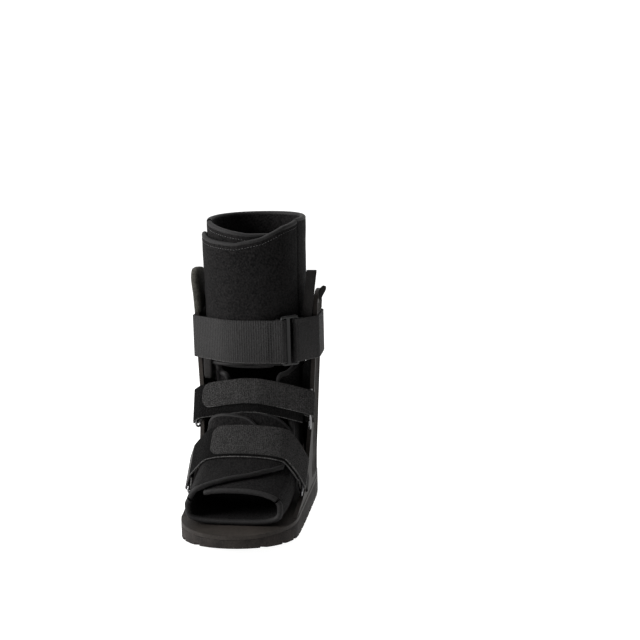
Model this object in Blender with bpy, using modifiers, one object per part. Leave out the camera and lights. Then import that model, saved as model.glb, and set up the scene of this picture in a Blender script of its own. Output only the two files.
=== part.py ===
"""Short walking boot: rocker sole, moulded shell with two struts, wrapped padded liner and three straps.

Metres, +Z up. The toe points to -Y, the wearer's inner side is +X, and the origin is on the floor under the
ankle.
"""

import bpy
import bmesh
import math
from mathutils import Matrix, Vector
from mathutils.geometry import convex_hull_2d

CLEARANCE = 0.0003  # between pieces that touch
LAYER_GAP = 0.0008  # between curved layers of padding, whose facets differ

# Sole
TOE_REACH = 0.182  # from the ankle's axis to the toe's tip
HEEL_REACH = 0.098
FOREFOOT_HALF_WIDTH = 0.061
HEEL_HALF_WIDTH = 0.060
TOE_ROUND = 0.062  # length of the round toe
HEEL_ROUND = 0.108
HEEL_SQUARENESS = 2.6
SOLE_HEIGHT = 0.018
TOE_LIFT = 0.0094
HEEL_LIFT = 0.005
FLAT_FRONT = 0.055  # the flat stretch of the rocker reaches this far before the ankle
FLAT_BACK = 0.045
GROOVE_WIDTH = 0.004
GROOVE_DEPTH = 0.0025
GROOVE_PITCH = 0.018

# Shell
PLATE_THICKNESS = 0.004
WALL = 0.0045
WALL_LEDGE = 0.0006  # the wall stands this far inside the plate's edge
HEEL_WALL_TOP = 0.052
TOE_RIM = 0.003  # rim above the plate where the side wall starts
RIM_START = 0.128
STRUT_HALF_WIDTH = 0.019
STRUT_LEAN = 0.0225  # outward for each metre up
STRUT_TOP_ROUND = 0.014
STRUT_TOPS = {"left": 0.262, "right": 0.240}
STRUT_SHIFT = {  # how far the top strap's pull sets each strut outward, by height
    "left": ((0.212, 0.0), (0.237, 0.0008), (0.262, 0.0030)),
    "right": ((0.050, 0.0), (0.168, 0.0042), (0.240, 0.0066)),
}
SWEEP_RISE = 0.130  # height of the front sweep above the rim, where it meets the strut
SWEEP_LENGTH = 0.020
BACK_SWEEP_RISE = 0.080
BACK_SWEEP_LENGTH = 0.014

# Liner
COLLAR_TOP = 0.315
CALF_HALF_WIDTH = 0.053
CALF_FRONT = 0.046
CALF_BACK = 0.070
ANKLE_HEIGHT = 0.150
ANKLE_FRONT = 0.050
TOE_OPENING = 0.150  # the liner's front edge, before the ankle's axis
INSTEP_WIDTH = 0.053
LINER_THICKNESS = 0.006
FLAP_THICKNESS = 0.005
CALF_FLAP_BOTTOM = 0.163

# Straps
STRAP_THICKNESS = 0.002
STRAP_STEP = 0.008  # longest facet
FACET_ERROR = 0.00006
TOP_STRAP_WIDTH = 0.046
TOP_STRAP_HEIGHT = 0.191
MIDDLE_STRAP_WIDTH = 0.036
MIDDLE_TAB_WIDTH = 0.027
MIDDLE_TAB_TIP = 0.054  # how far the tab reaches past the boot's middle
LOWER_STRAP_WIDTH = 0.038
LOWER_TAB_WIDTH = 0.035
LOWER_TAB_TIP = 0.036
TAB_MARGIN = 0.0005
MIDDLE_STRAP_PLACE = (-0.0590, 0.1366)  # y and z of the middle of its front
MIDDLE_STRAP_TILT = 20.5
LOWER_STRAP_PLACE = (-0.0870, 0.0910)
LOWER_STRAP_TILT = 47.8
TAB_TIP_ROUND = 0.010
DRIFT_POWER = 1.5  # how a strap's ends turn down from its front
FOLD_LEG = 0.010
FOLD_GAP = 0.001
RING_WIRE = 0.0026
RING_LEAN = 0.0025  # the front bar stands this far outside the back one
RING_ROOM = 0.0030
CHAPE_THICKNESS = 0.0014
CHAPE_WIDTH = 0.026
LOWER_CHAPE_WIDTH = 0.016
CHAPE_ROOM = 0.0010
CHAPE_CORNER = 0.0012  # its inner corners' radius
SLOT_WIDTH = 0.0026
SLOT_ROOM = 0.001

BUCKLE_BAR = 0.0030
BUCKLE_DEPTH = 0.0030
BUCKLE_RIM = 0.003
BUCKLE_ROOM = 0.001  # above and below the strap
BUCKLE_CORNER = 0.003
BUCKLE_WINDOW = 0.0070
BUCKLE_REACH = 0.0176  # between its outer bars
BUCKLE_PLACE = (0.0363, 0.0487)  # the first bar, from the ankle's axis
BUCKLE_LEG = 0.009
BUCKLE_TURN = math.radians(36.0)

PULL_TAB_WIDTH = 0.0105
PULL_TAB_MIDDLE = 0.0590
PULL_TAB_ROOM = 0.0026  # before the strut
PULL_TAB_RISE = 0.024  # above the right strut
PULL_TAB_BOTTOM = 0.175
PULL_TAB_LOOP = 0.0024  # radius of the open loop at its top
PULL_TAB_LEAN = 0.0065  # how far its top stands outward

PLATE_TOP = SOLE_HEIGHT + CLEARANCE + PLATE_THICKNESS
LINER_BOTTOM = PLATE_TOP + CLEARANCE


def clear_scene():
    for obj in list(bpy.data.objects):
        bpy.data.objects.remove(obj, do_unlink=True)


def new_collection(name):
    collection = bpy.data.collections.new(name)
    bpy.context.scene.collection.children.link(collection)
    return collection


def finish(name, colour, roughness, metallic=0.0):
    material = bpy.data.materials.new(name)
    material.use_nodes = True
    shader = material.node_tree.nodes["Principled BSDF"]
    shader.inputs["Base Color"].default_value = (*colour, 1.0)
    shader.inputs["Roughness"].default_value = roughness
    shader.inputs["Metallic"].default_value = metallic
    return material


clear_scene()
boot = new_collection("walking_boot")
cutters = new_collection("cutters")

rubber = finish("rubber", (0.020, 0.018, 0.017), 0.75)
moulded = finish("moulded_plastic", (0.045, 0.038, 0.034), 0.45)
fleece = finish("liner_fleece", (0.010, 0.010, 0.011), 0.95)
fleece_flap = finish("flap_fleece", (0.013, 0.013, 0.015), 0.95)
ribbed = finish("ribbed_webbing", (0.035, 0.033, 0.034), 0.80)
loop_pile = finish("loop_pile", (0.012, 0.012, 0.012), 0.95)
grey_pile = finish("grey_pile", (0.060, 0.058, 0.060), 0.90)
black_plastic = finish("buckle_plastic", (0.010, 0.010, 0.010), 0.35)
steel = finish("steel_wire", (0.35, 0.35, 0.36), 0.30, 1.0)
webbing = finish("webbing", (0.030, 0.026, 0.025), 0.80)


def place(name, mesh, material, collection=boot):
    obj = bpy.data.objects.new(name, mesh)
    collection.objects.link(obj)
    mesh.materials.clear()
    mesh.materials.append(material)
    return obj


def as_cutter(obj):
    for collection in list(obj.users_collection):
        collection.objects.unlink(obj)
    cutters.objects.link(obj)
    obj.hide_render = True
    obj.display_type = "WIRE"
    return obj


def evaluated_mesh(obj):
    graph = bpy.context.evaluated_depsgraph_get()
    graph.update()
    mesh = bpy.data.meshes.new_from_object(obj.evaluated_get(graph))
    mesh.transform(obj.matrix_world)
    return mesh


def flat_outline(name, loops, thickness, material, matrix=Matrix.Identity(4)):
    """A solid plate from flat outlines, the first the outer one, centred on the matrix's XY plane."""
    curve = bpy.data.curves.new(name, "CURVE")
    curve.dimensions = "2D"
    curve.fill_mode = "BOTH"
    curve.extrude = thickness / 2
    for loop in loops:
        spline = curve.splines.new("POLY")
        spline.points.add(len(loop) - 1)
        for point, (x, y) in zip(spline.points, loop):
            point.co = (x, y, 0.0, 1.0)
        spline.use_cyclic_u = True
    guide = bpy.data.objects.new(name + "_outline", curve)
    bpy.context.scene.collection.objects.link(guide)
    graph = bpy.context.evaluated_depsgraph_get()
    mesh = bpy.data.meshes.new_from_object(guide.evaluated_get(graph))
    bpy.data.objects.remove(guide, do_unlink=True)
    solid = bmesh.new()
    solid.from_mesh(mesh)
    bmesh.ops.remove_doubles(solid, verts=solid.verts, dist=0.00001)
    bmesh.ops.transform(solid, matrix=matrix, verts=solid.verts)
    bmesh.ops.recalc_face_normals(solid, faces=solid.faces)
    solid.to_mesh(mesh)
    solid.free()
    return place(name, mesh, material)


def sheet_between(name, rows, thickness, material, offset=-1.0):
    """A wall of even thickness on a grid of points whose faces point out.

    It grows inwards from the grid, or to both sides of it at offset 0.
    """
    grid = bmesh.new()
    verts = [[grid.verts.new(point) for point in row] for row in rows]
    for lower, upper in zip(verts, verts[1:]):
        for i in range(len(lower) - 1):
            grid.faces.new((lower[i], lower[i + 1], upper[i + 1], upper[i]))
    mesh = bpy.data.meshes.new(name)
    grid.to_mesh(mesh)
    grid.free()
    obj = place(name, mesh, material)
    wall = obj.modifiers.new("wall", "SOLIDIFY")
    wall.thickness = thickness
    wall.offset = offset
    wall.use_even_offset = True
    return obj


def slab(name, outer_rows, inner_rows, material):
    """The solid between two grids of points, closed round their borders."""
    solid = bmesh.new()
    borders = []
    for rows in (outer_rows, inner_rows):
        grid = [[solid.verts.new(point) for point in row] for row in rows]
        for lower, upper in zip(grid, grid[1:]):
            for i in range(len(lower) - 1):
                solid.faces.new((lower[i], lower[i + 1], upper[i + 1], upper[i]))
        there = grid[0] + [row[-1] for row in grid[1:]]
        back = grid[-1][-2::-1] + [row[0] for row in grid[-2:0:-1]]
        borders.append(there + back)
    outer, inner = borders
    for i in range(len(outer)):
        solid.faces.new((outer[i - 1], outer[i], inner[i], inner[i - 1]))
    bmesh.ops.recalc_face_normals(solid, faces=solid.faces)
    mesh = bpy.data.meshes.new(name)
    solid.to_mesh(mesh)
    solid.free()
    return place(name, mesh, material)


def cut(obj, cutter, operation="DIFFERENCE"):
    boolean = obj.modifiers.new("cut_" + cutter.name, "BOOLEAN")
    boolean.operation = operation
    boolean.object = cutter
    return as_cutter(cutter)


def settle(obj):
    """Applies the modifiers, so that later pieces can be fitted to the finished shape."""
    mesh = evaluated_mesh(obj)
    obj.modifiers.clear()
    obj.data = mesh
    return obj


def box(name, size, matrix):
    solid = bmesh.new()
    bmesh.ops.create_cube(solid, size=1.0)
    bmesh.ops.transform(solid, matrix=matrix @ Matrix.Diagonal((*size, 1.0)), verts=solid.verts)
    mesh = bpy.data.meshes.new(name)
    solid.to_mesh(mesh)
    solid.free()
    return place(name, mesh, black_plastic)


# The sole's outline: a straight-sided foot with an elliptical toe and a squarer heel.
TOE_CENTRE = TOE_ROUND - TOE_REACH
HEEL_CENTRE = HEEL_REACH - HEEL_ROUND


def sole_edge(y):
    """Half width of the sole at y."""
    if y <= TOE_CENTRE:
        return FOREFOOT_HALF_WIDTH * math.sqrt(max(0.0, 1 - ((TOE_CENTRE - y) / TOE_ROUND) ** 2))
    if y <= HEEL_CENTRE:
        share = (y - TOE_CENTRE) / (HEEL_CENTRE - TOE_CENTRE)
        return FOREFOOT_HALF_WIDTH + (HEEL_HALF_WIDTH - FOREFOOT_HALF_WIDTH) * share
    share = min(1.0, (y - HEEL_CENTRE) / HEEL_ROUND)
    return HEEL_HALF_WIDTH * (1 - share**HEEL_SQUARENESS) ** (1 / HEEL_SQUARENESS)


def heel_point(angle):
    """A point of the heel's curve, from the side at 0 to the back at a quarter turn."""
    x = HEEL_HALF_WIDTH * math.cos(angle) ** (2 / HEEL_SQUARENESS)
    y = HEEL_CENTRE + HEEL_ROUND * math.sin(angle) ** (2 / HEEL_SQUARENESS)
    return x, y


def sole_outline():
    toe = [
        (FOREFOOT_HALF_WIDTH * math.sin(a), TOE_CENTRE - TOE_ROUND * math.cos(a))
        for a in (math.radians(9 * i) for i in range(11))
    ]
    heel = [heel_point(math.radians(7.5 * i)) for i in range(13)]
    right = toe + heel
    return right + [(-x, y) for x, y in reversed(right[1:-1])]


def rocker(y):
    """Height of the sole's underside, which curls up before and behind its flat middle."""
    if y < -FLAT_FRONT:
        return TOE_LIFT * ((-y - FLAT_FRONT) / (TOE_REACH - FLAT_FRONT)) ** 2
    if y > FLAT_BACK:
        return HEEL_LIFT * ((y - FLAT_BACK) / (HEEL_REACH - FLAT_BACK)) ** 2
    return 0.0


def make_outsole():
    sole = flat_outline(
        "outsole",
        [sole_outline()],
        SOLE_HEIGHT,
        rubber,
        Matrix.Translation((0, 0, SOLE_HEIGHT / 2)),
    )
    margin = 0.01
    span = TOE_REACH + HEEL_REACH + 2 * margin
    steps = 24
    ys = [-TOE_REACH - margin + span * i / steps for i in range(steps + 1)]
    under = [(y, rocker(y)) for y in ys]
    profile = [(ys[0], -margin), (ys[-1], -margin)] + under[::-1]
    lengthwise = Matrix(((0, 0, 1, 0), (1, 0, 0, 0), (0, 1, 0, 0), (0, 0, 0, 1)))
    width = 2 * FOREFOOT_HALF_WIDTH + 2 * margin
    cut(sole, flat_outline("rocker_cutter", [profile], width, rubber, lengthwise))
    grooves = bmesh.new()
    count = int((TOE_REACH + HEEL_REACH) / GROOVE_PITCH)
    first = -TOE_REACH + GROOVE_PITCH * 0.6
    for i in range(count):
        y = first + GROOVE_PITCH * i
        if abs(y) < GROOVE_PITCH / 2:
            continue
        top = rocker(y) + GROOVE_DEPTH
        place_box = Matrix.Translation((0, y, top - margin / 2)) @ Matrix.Diagonal(
            (width, GROOVE_WIDTH, margin, 1.0)
        )
        bmesh.ops.create_cube(grooves, size=1.0, matrix=place_box)
    mesh = bpy.data.meshes.new("groove_cutter")
    grooves.to_mesh(mesh)
    grooves.free()
    cut(sole, place("groove_cutter", mesh, rubber))
    return settle(sole)


def front_sweep(distance):
    """Height of the side wall's rim, from its distance before the ankle's axis."""
    reach = distance - STRUT_HALF_WIDTH
    end = RIM_START - STRUT_HALF_WIDTH
    fade = 1 - reach / end
    return PLATE_TOP + (TOE_RIM + SWEEP_RISE * math.exp(-reach / SWEEP_LENGTH)) * min(1.0, fade * 6)


def back_sweep(distance):
    reach = distance - STRUT_HALF_WIDTH
    return HEEL_WALL_TOP + BACK_SWEEP_RISE * math.exp(-reach / BACK_SWEEP_LENGTH)


def strut_top(y, side):
    straight = STRUT_HALF_WIDTH - STRUT_TOP_ROUND
    over = max(0.0, abs(y) - straight)
    drop = STRUT_TOP_ROUND - math.sqrt(max(0.0, STRUT_TOP_ROUND**2 - over**2))
    return STRUT_TOPS[side] - drop


def wall_columns(side):
    """(x, y, normal x, normal y, rim height) of the wall's columns, from the toe end to the heel's back."""
    columns = []
    for share in (0.991, 0.82, 0.66, 0.52, 0.40, 0.30, 0.22, 0.15, 0.09, 0.04):
        distance = STRUT_HALF_WIDTH + (RIM_START - STRUT_HALF_WIDTH) * share
        columns.append((sole_edge(-distance), -distance, 1.0, 0.0, front_sweep(distance)))
    for share in (0.995, 0.94, 0.84, 0.70, 0.50, 0.27, 0.0, -0.27, -0.50, -0.70, -0.84, -0.94, -0.995):
        y = -STRUT_HALF_WIDTH * share
        columns.append((sole_edge(y), y, 1.0, 0.0, strut_top(y, side)))
    for share in (0.03, 0.10, 0.20, 0.34, 0.52):
        distance = STRUT_HALF_WIDTH + 0.06 * share
        columns.append((sole_edge(distance), distance, 1.0, 0.0, back_sweep(distance)))
    for degrees in (40, 48, 57, 67, 78, 90):
        x, y = heel_point(math.radians(degrees))
        normal = Vector((math.cos(math.radians(degrees)), math.sin(math.radians(degrees)))).normalized()
        columns.append((x, y, normal.x, normal.y, back_sweep(y)))
    return columns


def wall_point(column, share, side, depth):
    """A point of the wall, this deep under its outer face."""
    x, y, nx, ny, top = column
    base = PLATE_TOP - PLATE_THICKNESS / 2
    z = base + (top - base) * share
    lean = STRUT_LEAN * (z - SOLE_HEIGHT) + lerp_table(STRUT_SHIFT[side], z)
    reach = lean - WALL_LEDGE - depth
    return Vector((x + nx * reach, y + ny * reach, z))


def lerp_table(table, value):
    """Linear reading of (key, result) rows."""
    if value <= table[0][0]:
        return table[0][1]
    for (k0, r0), (k1, r1) in zip(table, table[1:]):
        if value <= k1:
            return r0 + (r1 - r0) * (value - k0) / (k1 - k0)
    return table[-1][1]


def make_shell():
    plate_middle = SOLE_HEIGHT + CLEARANCE + PLATE_THICKNESS / 2
    plate = flat_outline(
        "shell", [sole_outline()], PLATE_THICKNESS, moulded, Matrix.Translation((0, 0, plate_middle))
    )
    shares = (0.0, 0.10, 0.24, 0.42, 0.60, 0.78, 0.92, 1.0)
    faces = []
    for depth in (0.0, WALL):
        rows = []
        for share in shares:
            right = [wall_point(column, share, "right", depth) for column in wall_columns("right")]
            left = [wall_point(column, share, "left", depth) for column in wall_columns("left")]
            rows.append(right + [Vector((-p.x, p.y, p.z)) for p in reversed(left[:-1])])
        faces.append(rows)
    cut(plate, slab("side_walls", *faces, moulded), "UNION")
    return settle(plate)


# The liner's outer surface: cross sections along the boot, from the collar down, round the heel and out to
# the toe. Each section lies in a plane through the boot's width. origin_y and origin_z place the plane, turn
# is its direction from straight back (0) to straight down (90), and front and back are distances along it.
ANKLE_SECTION = 4
INSTEP_SECTION = 11
ANKLE_BACK = 0.94  # share of the calf's depth behind its axis that is left at the ankle
HEEL_ROUNDNESS = 3.4


def heel_reach(turn):
    """Distance from the ankle's front to the liner's back, heel and bottom, as a rounded rectangle."""
    back = ANKLE_FRONT + CALF_BACK * ANKLE_BACK
    down = ANKLE_HEIGHT - LINER_BOTTOM
    n = HEEL_ROUNDNESS
    a = math.radians(turn)
    return ((math.cos(a) / back) ** n + (math.sin(a) / down) ** n) ** (-1 / n)


def liner_sections():
    """Rows of (origin_y, origin_z, turn, half width, front, back, front roundness, back roundness)."""
    rows = []
    calf = COLLAR_TOP - ANKLE_HEIGHT
    for height, width, front, back in (
        (1.0, 1.010, 1.00, 1.02),
        (0.72, 1.000, 1.00, 1.01),
        (0.44, 0.995, 1.00, 0.99),
        (0.20, 0.975, 1.00, 0.97),
        (0.0, 0.950, 1.00, ANKLE_BACK),
    ):
        z = ANKLE_HEIGHT + calf * height
        rows.append((0.0, z, 0.0, CALF_HALF_WIDTH * width, -CALF_FRONT * front, CALF_BACK * back, 2.2, 2.2))
    for turn, width, front, n in (
        (18.0, 0.935, 0.05, 2.3),
        (36.0, 0.925, 0.07, 2.5),
        (54.0, 0.925, 0.09, 2.8),
        (68.0, 0.930, 0.11, 3.1),
        (78.0, 0.940, 0.12, 3.3),
        (85.0, 0.947, 0.13, 3.4),
        (90.0, 0.955, 0.15, 3.4),
    ):
        reach = heel_reach(turn)
        rows.append((-ANKLE_FRONT, ANKLE_HEIGHT, turn, INSTEP_WIDTH * width, reach * front, reach, 2.2, n))
    down = ANKLE_HEIGHT - LINER_BOTTOM
    vamp = TOE_OPENING - ANKLE_FRONT
    for along, width, front in (
        (0.12, 0.97, 0.33),
        (0.25, 0.99, 0.46),
        (0.42, 1.00, 0.585),
        (0.60, 1.00, 0.647),
        (0.80, 0.985, 0.679),
        (1.0, 0.955, 0.70),
    ):
        y = -ANKLE_FRONT - vamp * along
        rows.append((y, ANKLE_HEIGHT, 90.0, INSTEP_WIDTH * width, down * front, down, 2.3, 3.6))
    return rows


SECTIONS = liner_sections()
TOE_SECTION = len(SECTIONS) - 1.0


def section_at(s):
    i = min(int(s), len(SECTIONS) - 2)
    t = s - i
    return [a + (b - a) * t for a, b in zip(SECTIONS[i], SECTIONS[i + 1])]


def section_for_height(z):
    """The calf section at height z."""
    for i in range(ANKLE_SECTION):
        upper, lower = SECTIONS[i][1], SECTIONS[i + 1][1]
        if z >= lower:
            return i + (upper - z) / (upper - lower)
    return float(ANKLE_SECTION)


def signed_power(value, exponent):
    return math.copysign(abs(value) ** exponent, value)


def liner_point(s, degrees):
    """A point of the liner's outer surface. 0 degrees is the back or bottom, and more is towards +X."""
    oy, oz, turn, half, front, back, n_front, n_back = section_at(s)
    a = math.radians(degrees)
    n = n_back if abs(degrees) <= 90 else n_front
    middle = front + (back - front) * 0.5
    x = half * signed_power(math.sin(a), 2 / n)
    reach = middle + (back - middle) * signed_power(math.cos(a), 2 / n)
    t = math.radians(turn)
    return Vector((x, oy + reach * math.cos(t), oz - reach * math.sin(t)))


def liner_normal(s, degrees):
    ds, dd = 0.02, 2.0
    along = liner_point(min(TOE_SECTION, s + ds), degrees) - liner_point(max(0.0, s - ds), degrees)
    around = liner_point(s, degrees + dd) - liner_point(s, degrees - dd)
    normal = along.cross(around).normalized()
    oy, oz, turn, half, front, back, n_front, n_back = section_at(s)
    t = math.radians(turn)
    middle = front + (back - front) * 0.5
    centre = Vector((0, oy + middle * math.cos(t), oz - middle * math.sin(t)))
    return normal if normal.dot(liner_point(s, degrees) - centre) > 0 else -normal


def liner_patch(name, angles, edges, thickness, material, lift=lambda degrees: 0.0, rows=12):
    """A piece of the liner: at each angle it runs between the two sections of edges, raised by lift."""
    columns = []
    for degrees in angles:
        start, end = edges(degrees)
        column = []
        for i in range(rows + 1):
            s = start + (end - start) * i / rows
            column.append(liner_point(s, degrees) + liner_normal(s, degrees) * lift(degrees))
        columns.append(column)
    obj = sheet_between(name, columns, thickness, material)
    degrees = angles[len(angles) // 2]
    outward = liner_normal(sum(edges(degrees)) / 2, degrees)
    if obj.data.polygons[len(obj.data.polygons) // 2].normal.dot(outward) < 0:
        obj.data.flip_normals()
    return settle(obj)


# Where the body stops and the flaps start, in degrees, by section.
BODY_EDGE = (
    (0.0, 112.0),
    (3.75, 112.0),
    (4.1, 136.0),
    (5.0, 146.0),
    (7.0, 140.0),
    (9.0, 124.0),
    (INSTEP_SECTION, 112.0),
    (TOE_SECTION, 112.0),
)
SEAM = 2.4  # degrees kept clear between the body and a calf flap
FOOT_SEAM = 6.0  # and between the body and a foot flap


def make_liner_body():
    rows = []
    steps = 24
    stations = [0.0, 0.5, 1.0, 2.0, 3.0, 3.75, 4.1, 4.5, 5.0, 5.5, 6.0, 6.5, 7.0, 7.5]
    stations += [float(i) for i in range(8, len(SECTIONS))]
    for s in stations:
        limit = lerp_table(BODY_EDGE, s)
        rows.append([liner_point(s, -limit + 2 * limit * i / steps) for i in range(steps + 1)])
    body = sheet_between("liner_body", rows, LINER_THICKNESS, fleece)
    probe = body.data.polygons[steps // 2]
    if probe.normal.y < 0:
        body.data.flip_normals()
    return settle(body)


def spread(first, last, count):
    return [first + (last - first) * i / (count - 1) for i in range(count)]


def calf_flap_under():
    top = ((-248.0, COLLAR_TOP * 0.958), (-180.0, COLLAR_TOP * 0.962), (-112.0, COLLAR_TOP * 0.998))

    def edges(degrees):
        return section_for_height(lerp_table(top, degrees)), section_for_height(CALF_FLAP_BOTTOM)

    angles = spread(-112.0 - SEAM, -205.0, 14)
    return liner_patch("calf_flap_under", angles, edges, FLAP_THICKNESS, fleece)


def calf_flap_over():
    top = (
        (112.0, COLLAR_TOP * 0.998),
        (140.0, COLLAR_TOP * 0.985),
        (165.0, COLLAR_TOP * 0.950),
        (190.0, COLLAR_TOP * 0.932),
        (215.0, COLLAR_TOP * 0.938),
        (262.0, COLLAR_TOP * 0.955),
    )
    bottom = (
        (112.0, CALF_FLAP_BOTTOM),
        (180.0, CALF_FLAP_BOTTOM + 0.005),
        (262.0, CALF_FLAP_BOTTOM - 0.002),
    )
    rise = FLAP_THICKNESS + LAYER_GAP

    def edges(degrees):
        lower = section_for_height(lerp_table(bottom, degrees))
        return section_for_height(lerp_table(top, degrees)), lower

    def lift(degrees):
        return rise * min(1.0, max(0.0, (degrees - 114.0) / 26.0))

    angles = spread(112.0 + SEAM, 262.0, 20)
    return liner_patch("calf_flap_over", angles, edges, FLAP_THICKNESS, fleece_flap, lift)


def foot_flap_under():
    def edges(degrees):
        return INSTEP_SECTION + 0.7, TOE_SECTION

    angles = spread(112.0 + FOOT_SEAM, 212.0, 14)
    return liner_patch("foot_flap_under", angles, edges, FLAP_THICKNESS, fleece)


def foot_flap_over():
    tip = 226.0
    rise = FLAP_THICKNESS + LAYER_GAP
    upper = ((112.0, 11.2), (178.0, 12.0), (200.0, 13.0), (tip, 14.2))
    toe = TOE_SECTION
    front = ((112.0, toe), (140.0, toe - 0.05), (165.0, 16.5), (196.0, 15.6), (tip, 14.4))

    def edges(degrees):
        return lerp_table(upper, -degrees), lerp_table(front, -degrees)

    def lift(degrees):
        return rise * min(1.0, max(0.0, (-degrees - 114.0) / 22.0))

    angles = spread(-112.0 - FOOT_SEAM, -tip, 16)
    return liner_patch("foot_flap_over", angles, edges, FLAP_THICKNESS, fleece_flap, lift)


outsole = make_outsole()
shell = make_shell()
liner_body = make_liner_body()
calf_under = calf_flap_under()
calf_over = calf_flap_over()
foot_under = foot_flap_under()
foot_over = foot_flap_over()


# Straps: each is a band wrapped round what lies beneath it. Its frame has X across the boot, Y towards the
# front and Z down along the strap's width.
def strap_frame(y, z, tilt):
    a = math.radians(tilt)
    width = Vector((0, math.sin(a), math.cos(a)))
    front = Vector((0, -math.cos(a), math.sin(a)))
    matrix = Matrix.Identity(4)
    for row in range(3):
        matrix[row][1] = front[row]
        matrix[row][2] = -width[row]
    matrix.translation = Vector((0, y, z))
    return matrix


def no_drift(x, y):
    return 0.0


def band_points(objects, frame, drift, half_width, behind=-1.0):
    """Flat points, in the frame, of everything within the strap's width."""
    points = []
    for obj in objects:
        section = bmesh.new()
        section.from_mesh(obj.data)
        bmesh.ops.transform(section, matrix=frame.inverted(), verts=section.verts)
        for vert in section.verts:
            vert.co.z -= drift(vert.co.x, vert.co.y)
        for side in (-1, 1):
            bmesh.ops.bisect_plane(
                section,
                geom=section.verts[:] + section.edges[:] + section.faces[:],
                plane_co=(0, 0, side * half_width),
                plane_no=(0, 0, side),
                clear_outer=True,
            )
        points += [Vector((v.co.x, v.co.y)) for v in section.verts if v.co.y > behind]
        section.free()
    return points


def arc(centre, radius, first, last, count=8):
    angles = (math.radians(first + (last - first) * i / count) for i in range(count + 1))
    return [Vector((centre[0] + radius * math.cos(a), centre[1] + radius * math.sin(a))) for a in angles]


def disc(centre, radius):
    return arc(centre, radius, 0, 345, 23)


def hull_loop(points):
    """The points' convex outline, anticlockwise from its lowest point."""
    loop = [points[i] for i in convex_hull_2d(points)]
    area = sum(a.x * b.y - b.x * a.y for a, b in zip(loop, loop[1:] + loop[:1]))
    if area < 0:
        loop.reverse()
    start = min(range(len(loop)), key=lambda i: loop[i].y)
    return loop[start:] + loop[:start]


def grown(points, distance):
    return [corner for point in hull_loop(points) for corner in disc(point, distance)]


def walk(line, distances):
    """Points of a line at these distances from its start."""
    result = []
    for target in distances:
        left = target
        for a, b in zip(line, line[1:]):
            step = (b - a).length
            if step >= left and step > 0:
                result.append(a.lerp(b, left / step))
                break
            left -= step
        else:
            result.append(line[-1].copy())
    return result


def length_of(line):
    return sum((b - a).length for a, b in zip(line, line[1:]))


def off_line(point, a, b):
    along = (b - a).normalized()
    return abs((point - a).cross(along))


def faceted(line):
    """The line without the points that stay within FACET_ERROR of it, and with no step over STRAP_STEP."""

    def straight(first, last):
        return all(off_line(p, line[first], line[last]) < FACET_ERROR for p in line[first + 1 : last])

    kept, i = [line[0]], 0
    while i < len(line) - 1:
        j = i + 1
        while j + 1 < len(line) and straight(i, j + 1):
            j += 1
        count = math.ceil((line[j] - line[i]).length / STRAP_STEP)
        kept += [line[i].lerp(line[j], k / count) for k in range(1, count + 1)]
        i = j
    return kept


def left_to(line, limit):
    """The line as far as it reaches x = limit."""
    result = [line[0]]
    for a, b in zip(line, line[1:]):
        if b.x < limit:
            return result + [a.lerp(b, (a.x - limit) / (a.x - b.x))]
        result.append(b)
    return result


def angle_of(vector):
    return math.degrees(math.atan2(vector.y, vector.x))


UNDER = CLEARANCE + STRAP_THICKNESS / 2  # a strap's middle above what it lies on
LAYER = CLEARANCE + STRAP_THICKNESS  # one strap's middle above another's
FOLD_RADIUS = RING_WIRE / 2 + UNDER


def band(name, line, width, material, frame, drift=no_drift, middle=0.0, round_tip=0.0):
    """A strap along the line, its last end rounded when round_tip gives a radius."""
    total, reached, rows = length_of(line), 0.0, []
    for i, point in enumerate(line):
        if i:
            reached += (point - line[i - 1]).length
        inset = max(0.0, round_tip - (total - reached))
        half = width / 2 - round_tip + math.sqrt(max(0.0, round_tip**2 - inset**2))
        down = middle + drift(point.x, point.y)
        rows.append([frame @ Vector((point.x, point.y, down + side * half)) for side in (-1, 1)])
    return settle(sheet_between(name, rows, STRAP_THICKNESS, material, offset=0.0))


def rounded_rectangle(width, height, radius, count=2):
    points = []
    for cx, cy, start in ((1, 1, 0), (-1, 1, 90), (-1, -1, 180), (1, -1, 270)):
        centre = (cx * (width / 2 - radius), cy * (height / 2 - radius))
        points += [(p.x, p.y) for p in arc(centre, radius, start, start + 90, count)]
    return points


def wire_ring(name, width, height, matrix):
    """A rectangular loop of round wire in the matrix's XY plane."""
    curve = bpy.data.curves.new(name, "CURVE")
    curve.dimensions = "3D"
    curve.bevel_depth = RING_WIRE / 2
    curve.bevel_resolution = 1
    outline = rounded_rectangle(width, height, RING_WIRE)
    spline = curve.splines.new("POLY")
    spline.points.add(len(outline) - 1)
    for point, (x, y) in zip(spline.points, outline):
        point.co = (x, y, 0.0, 1.0)
    spline.use_cyclic_u = True
    ring = bpy.data.objects.new(name + "_path", curve)
    bpy.context.scene.collection.objects.link(ring)
    ring.matrix_world = matrix
    mesh = evaluated_mesh(ring)
    bpy.data.objects.remove(ring, do_unlink=True)
    return place(name, mesh, steel)


class StrapEnd:
    """A strap's end on the shell, in the strap's frame: the slot, the ring's two bars and how far down."""

    def __init__(self, side, wall, slot, back_bar, front_bar, drop, chape_width):
        sign = 1.0 if side == "right" else -1.0
        self.wall = sign * wall
        self.slot = slot
        self.back_bar = Vector((self.wall, back_bar))
        self.front_bar = Vector((self.wall + sign * RING_LEAN, front_bar))
        self.drop = drop
        self.chape_width = chape_width


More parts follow.
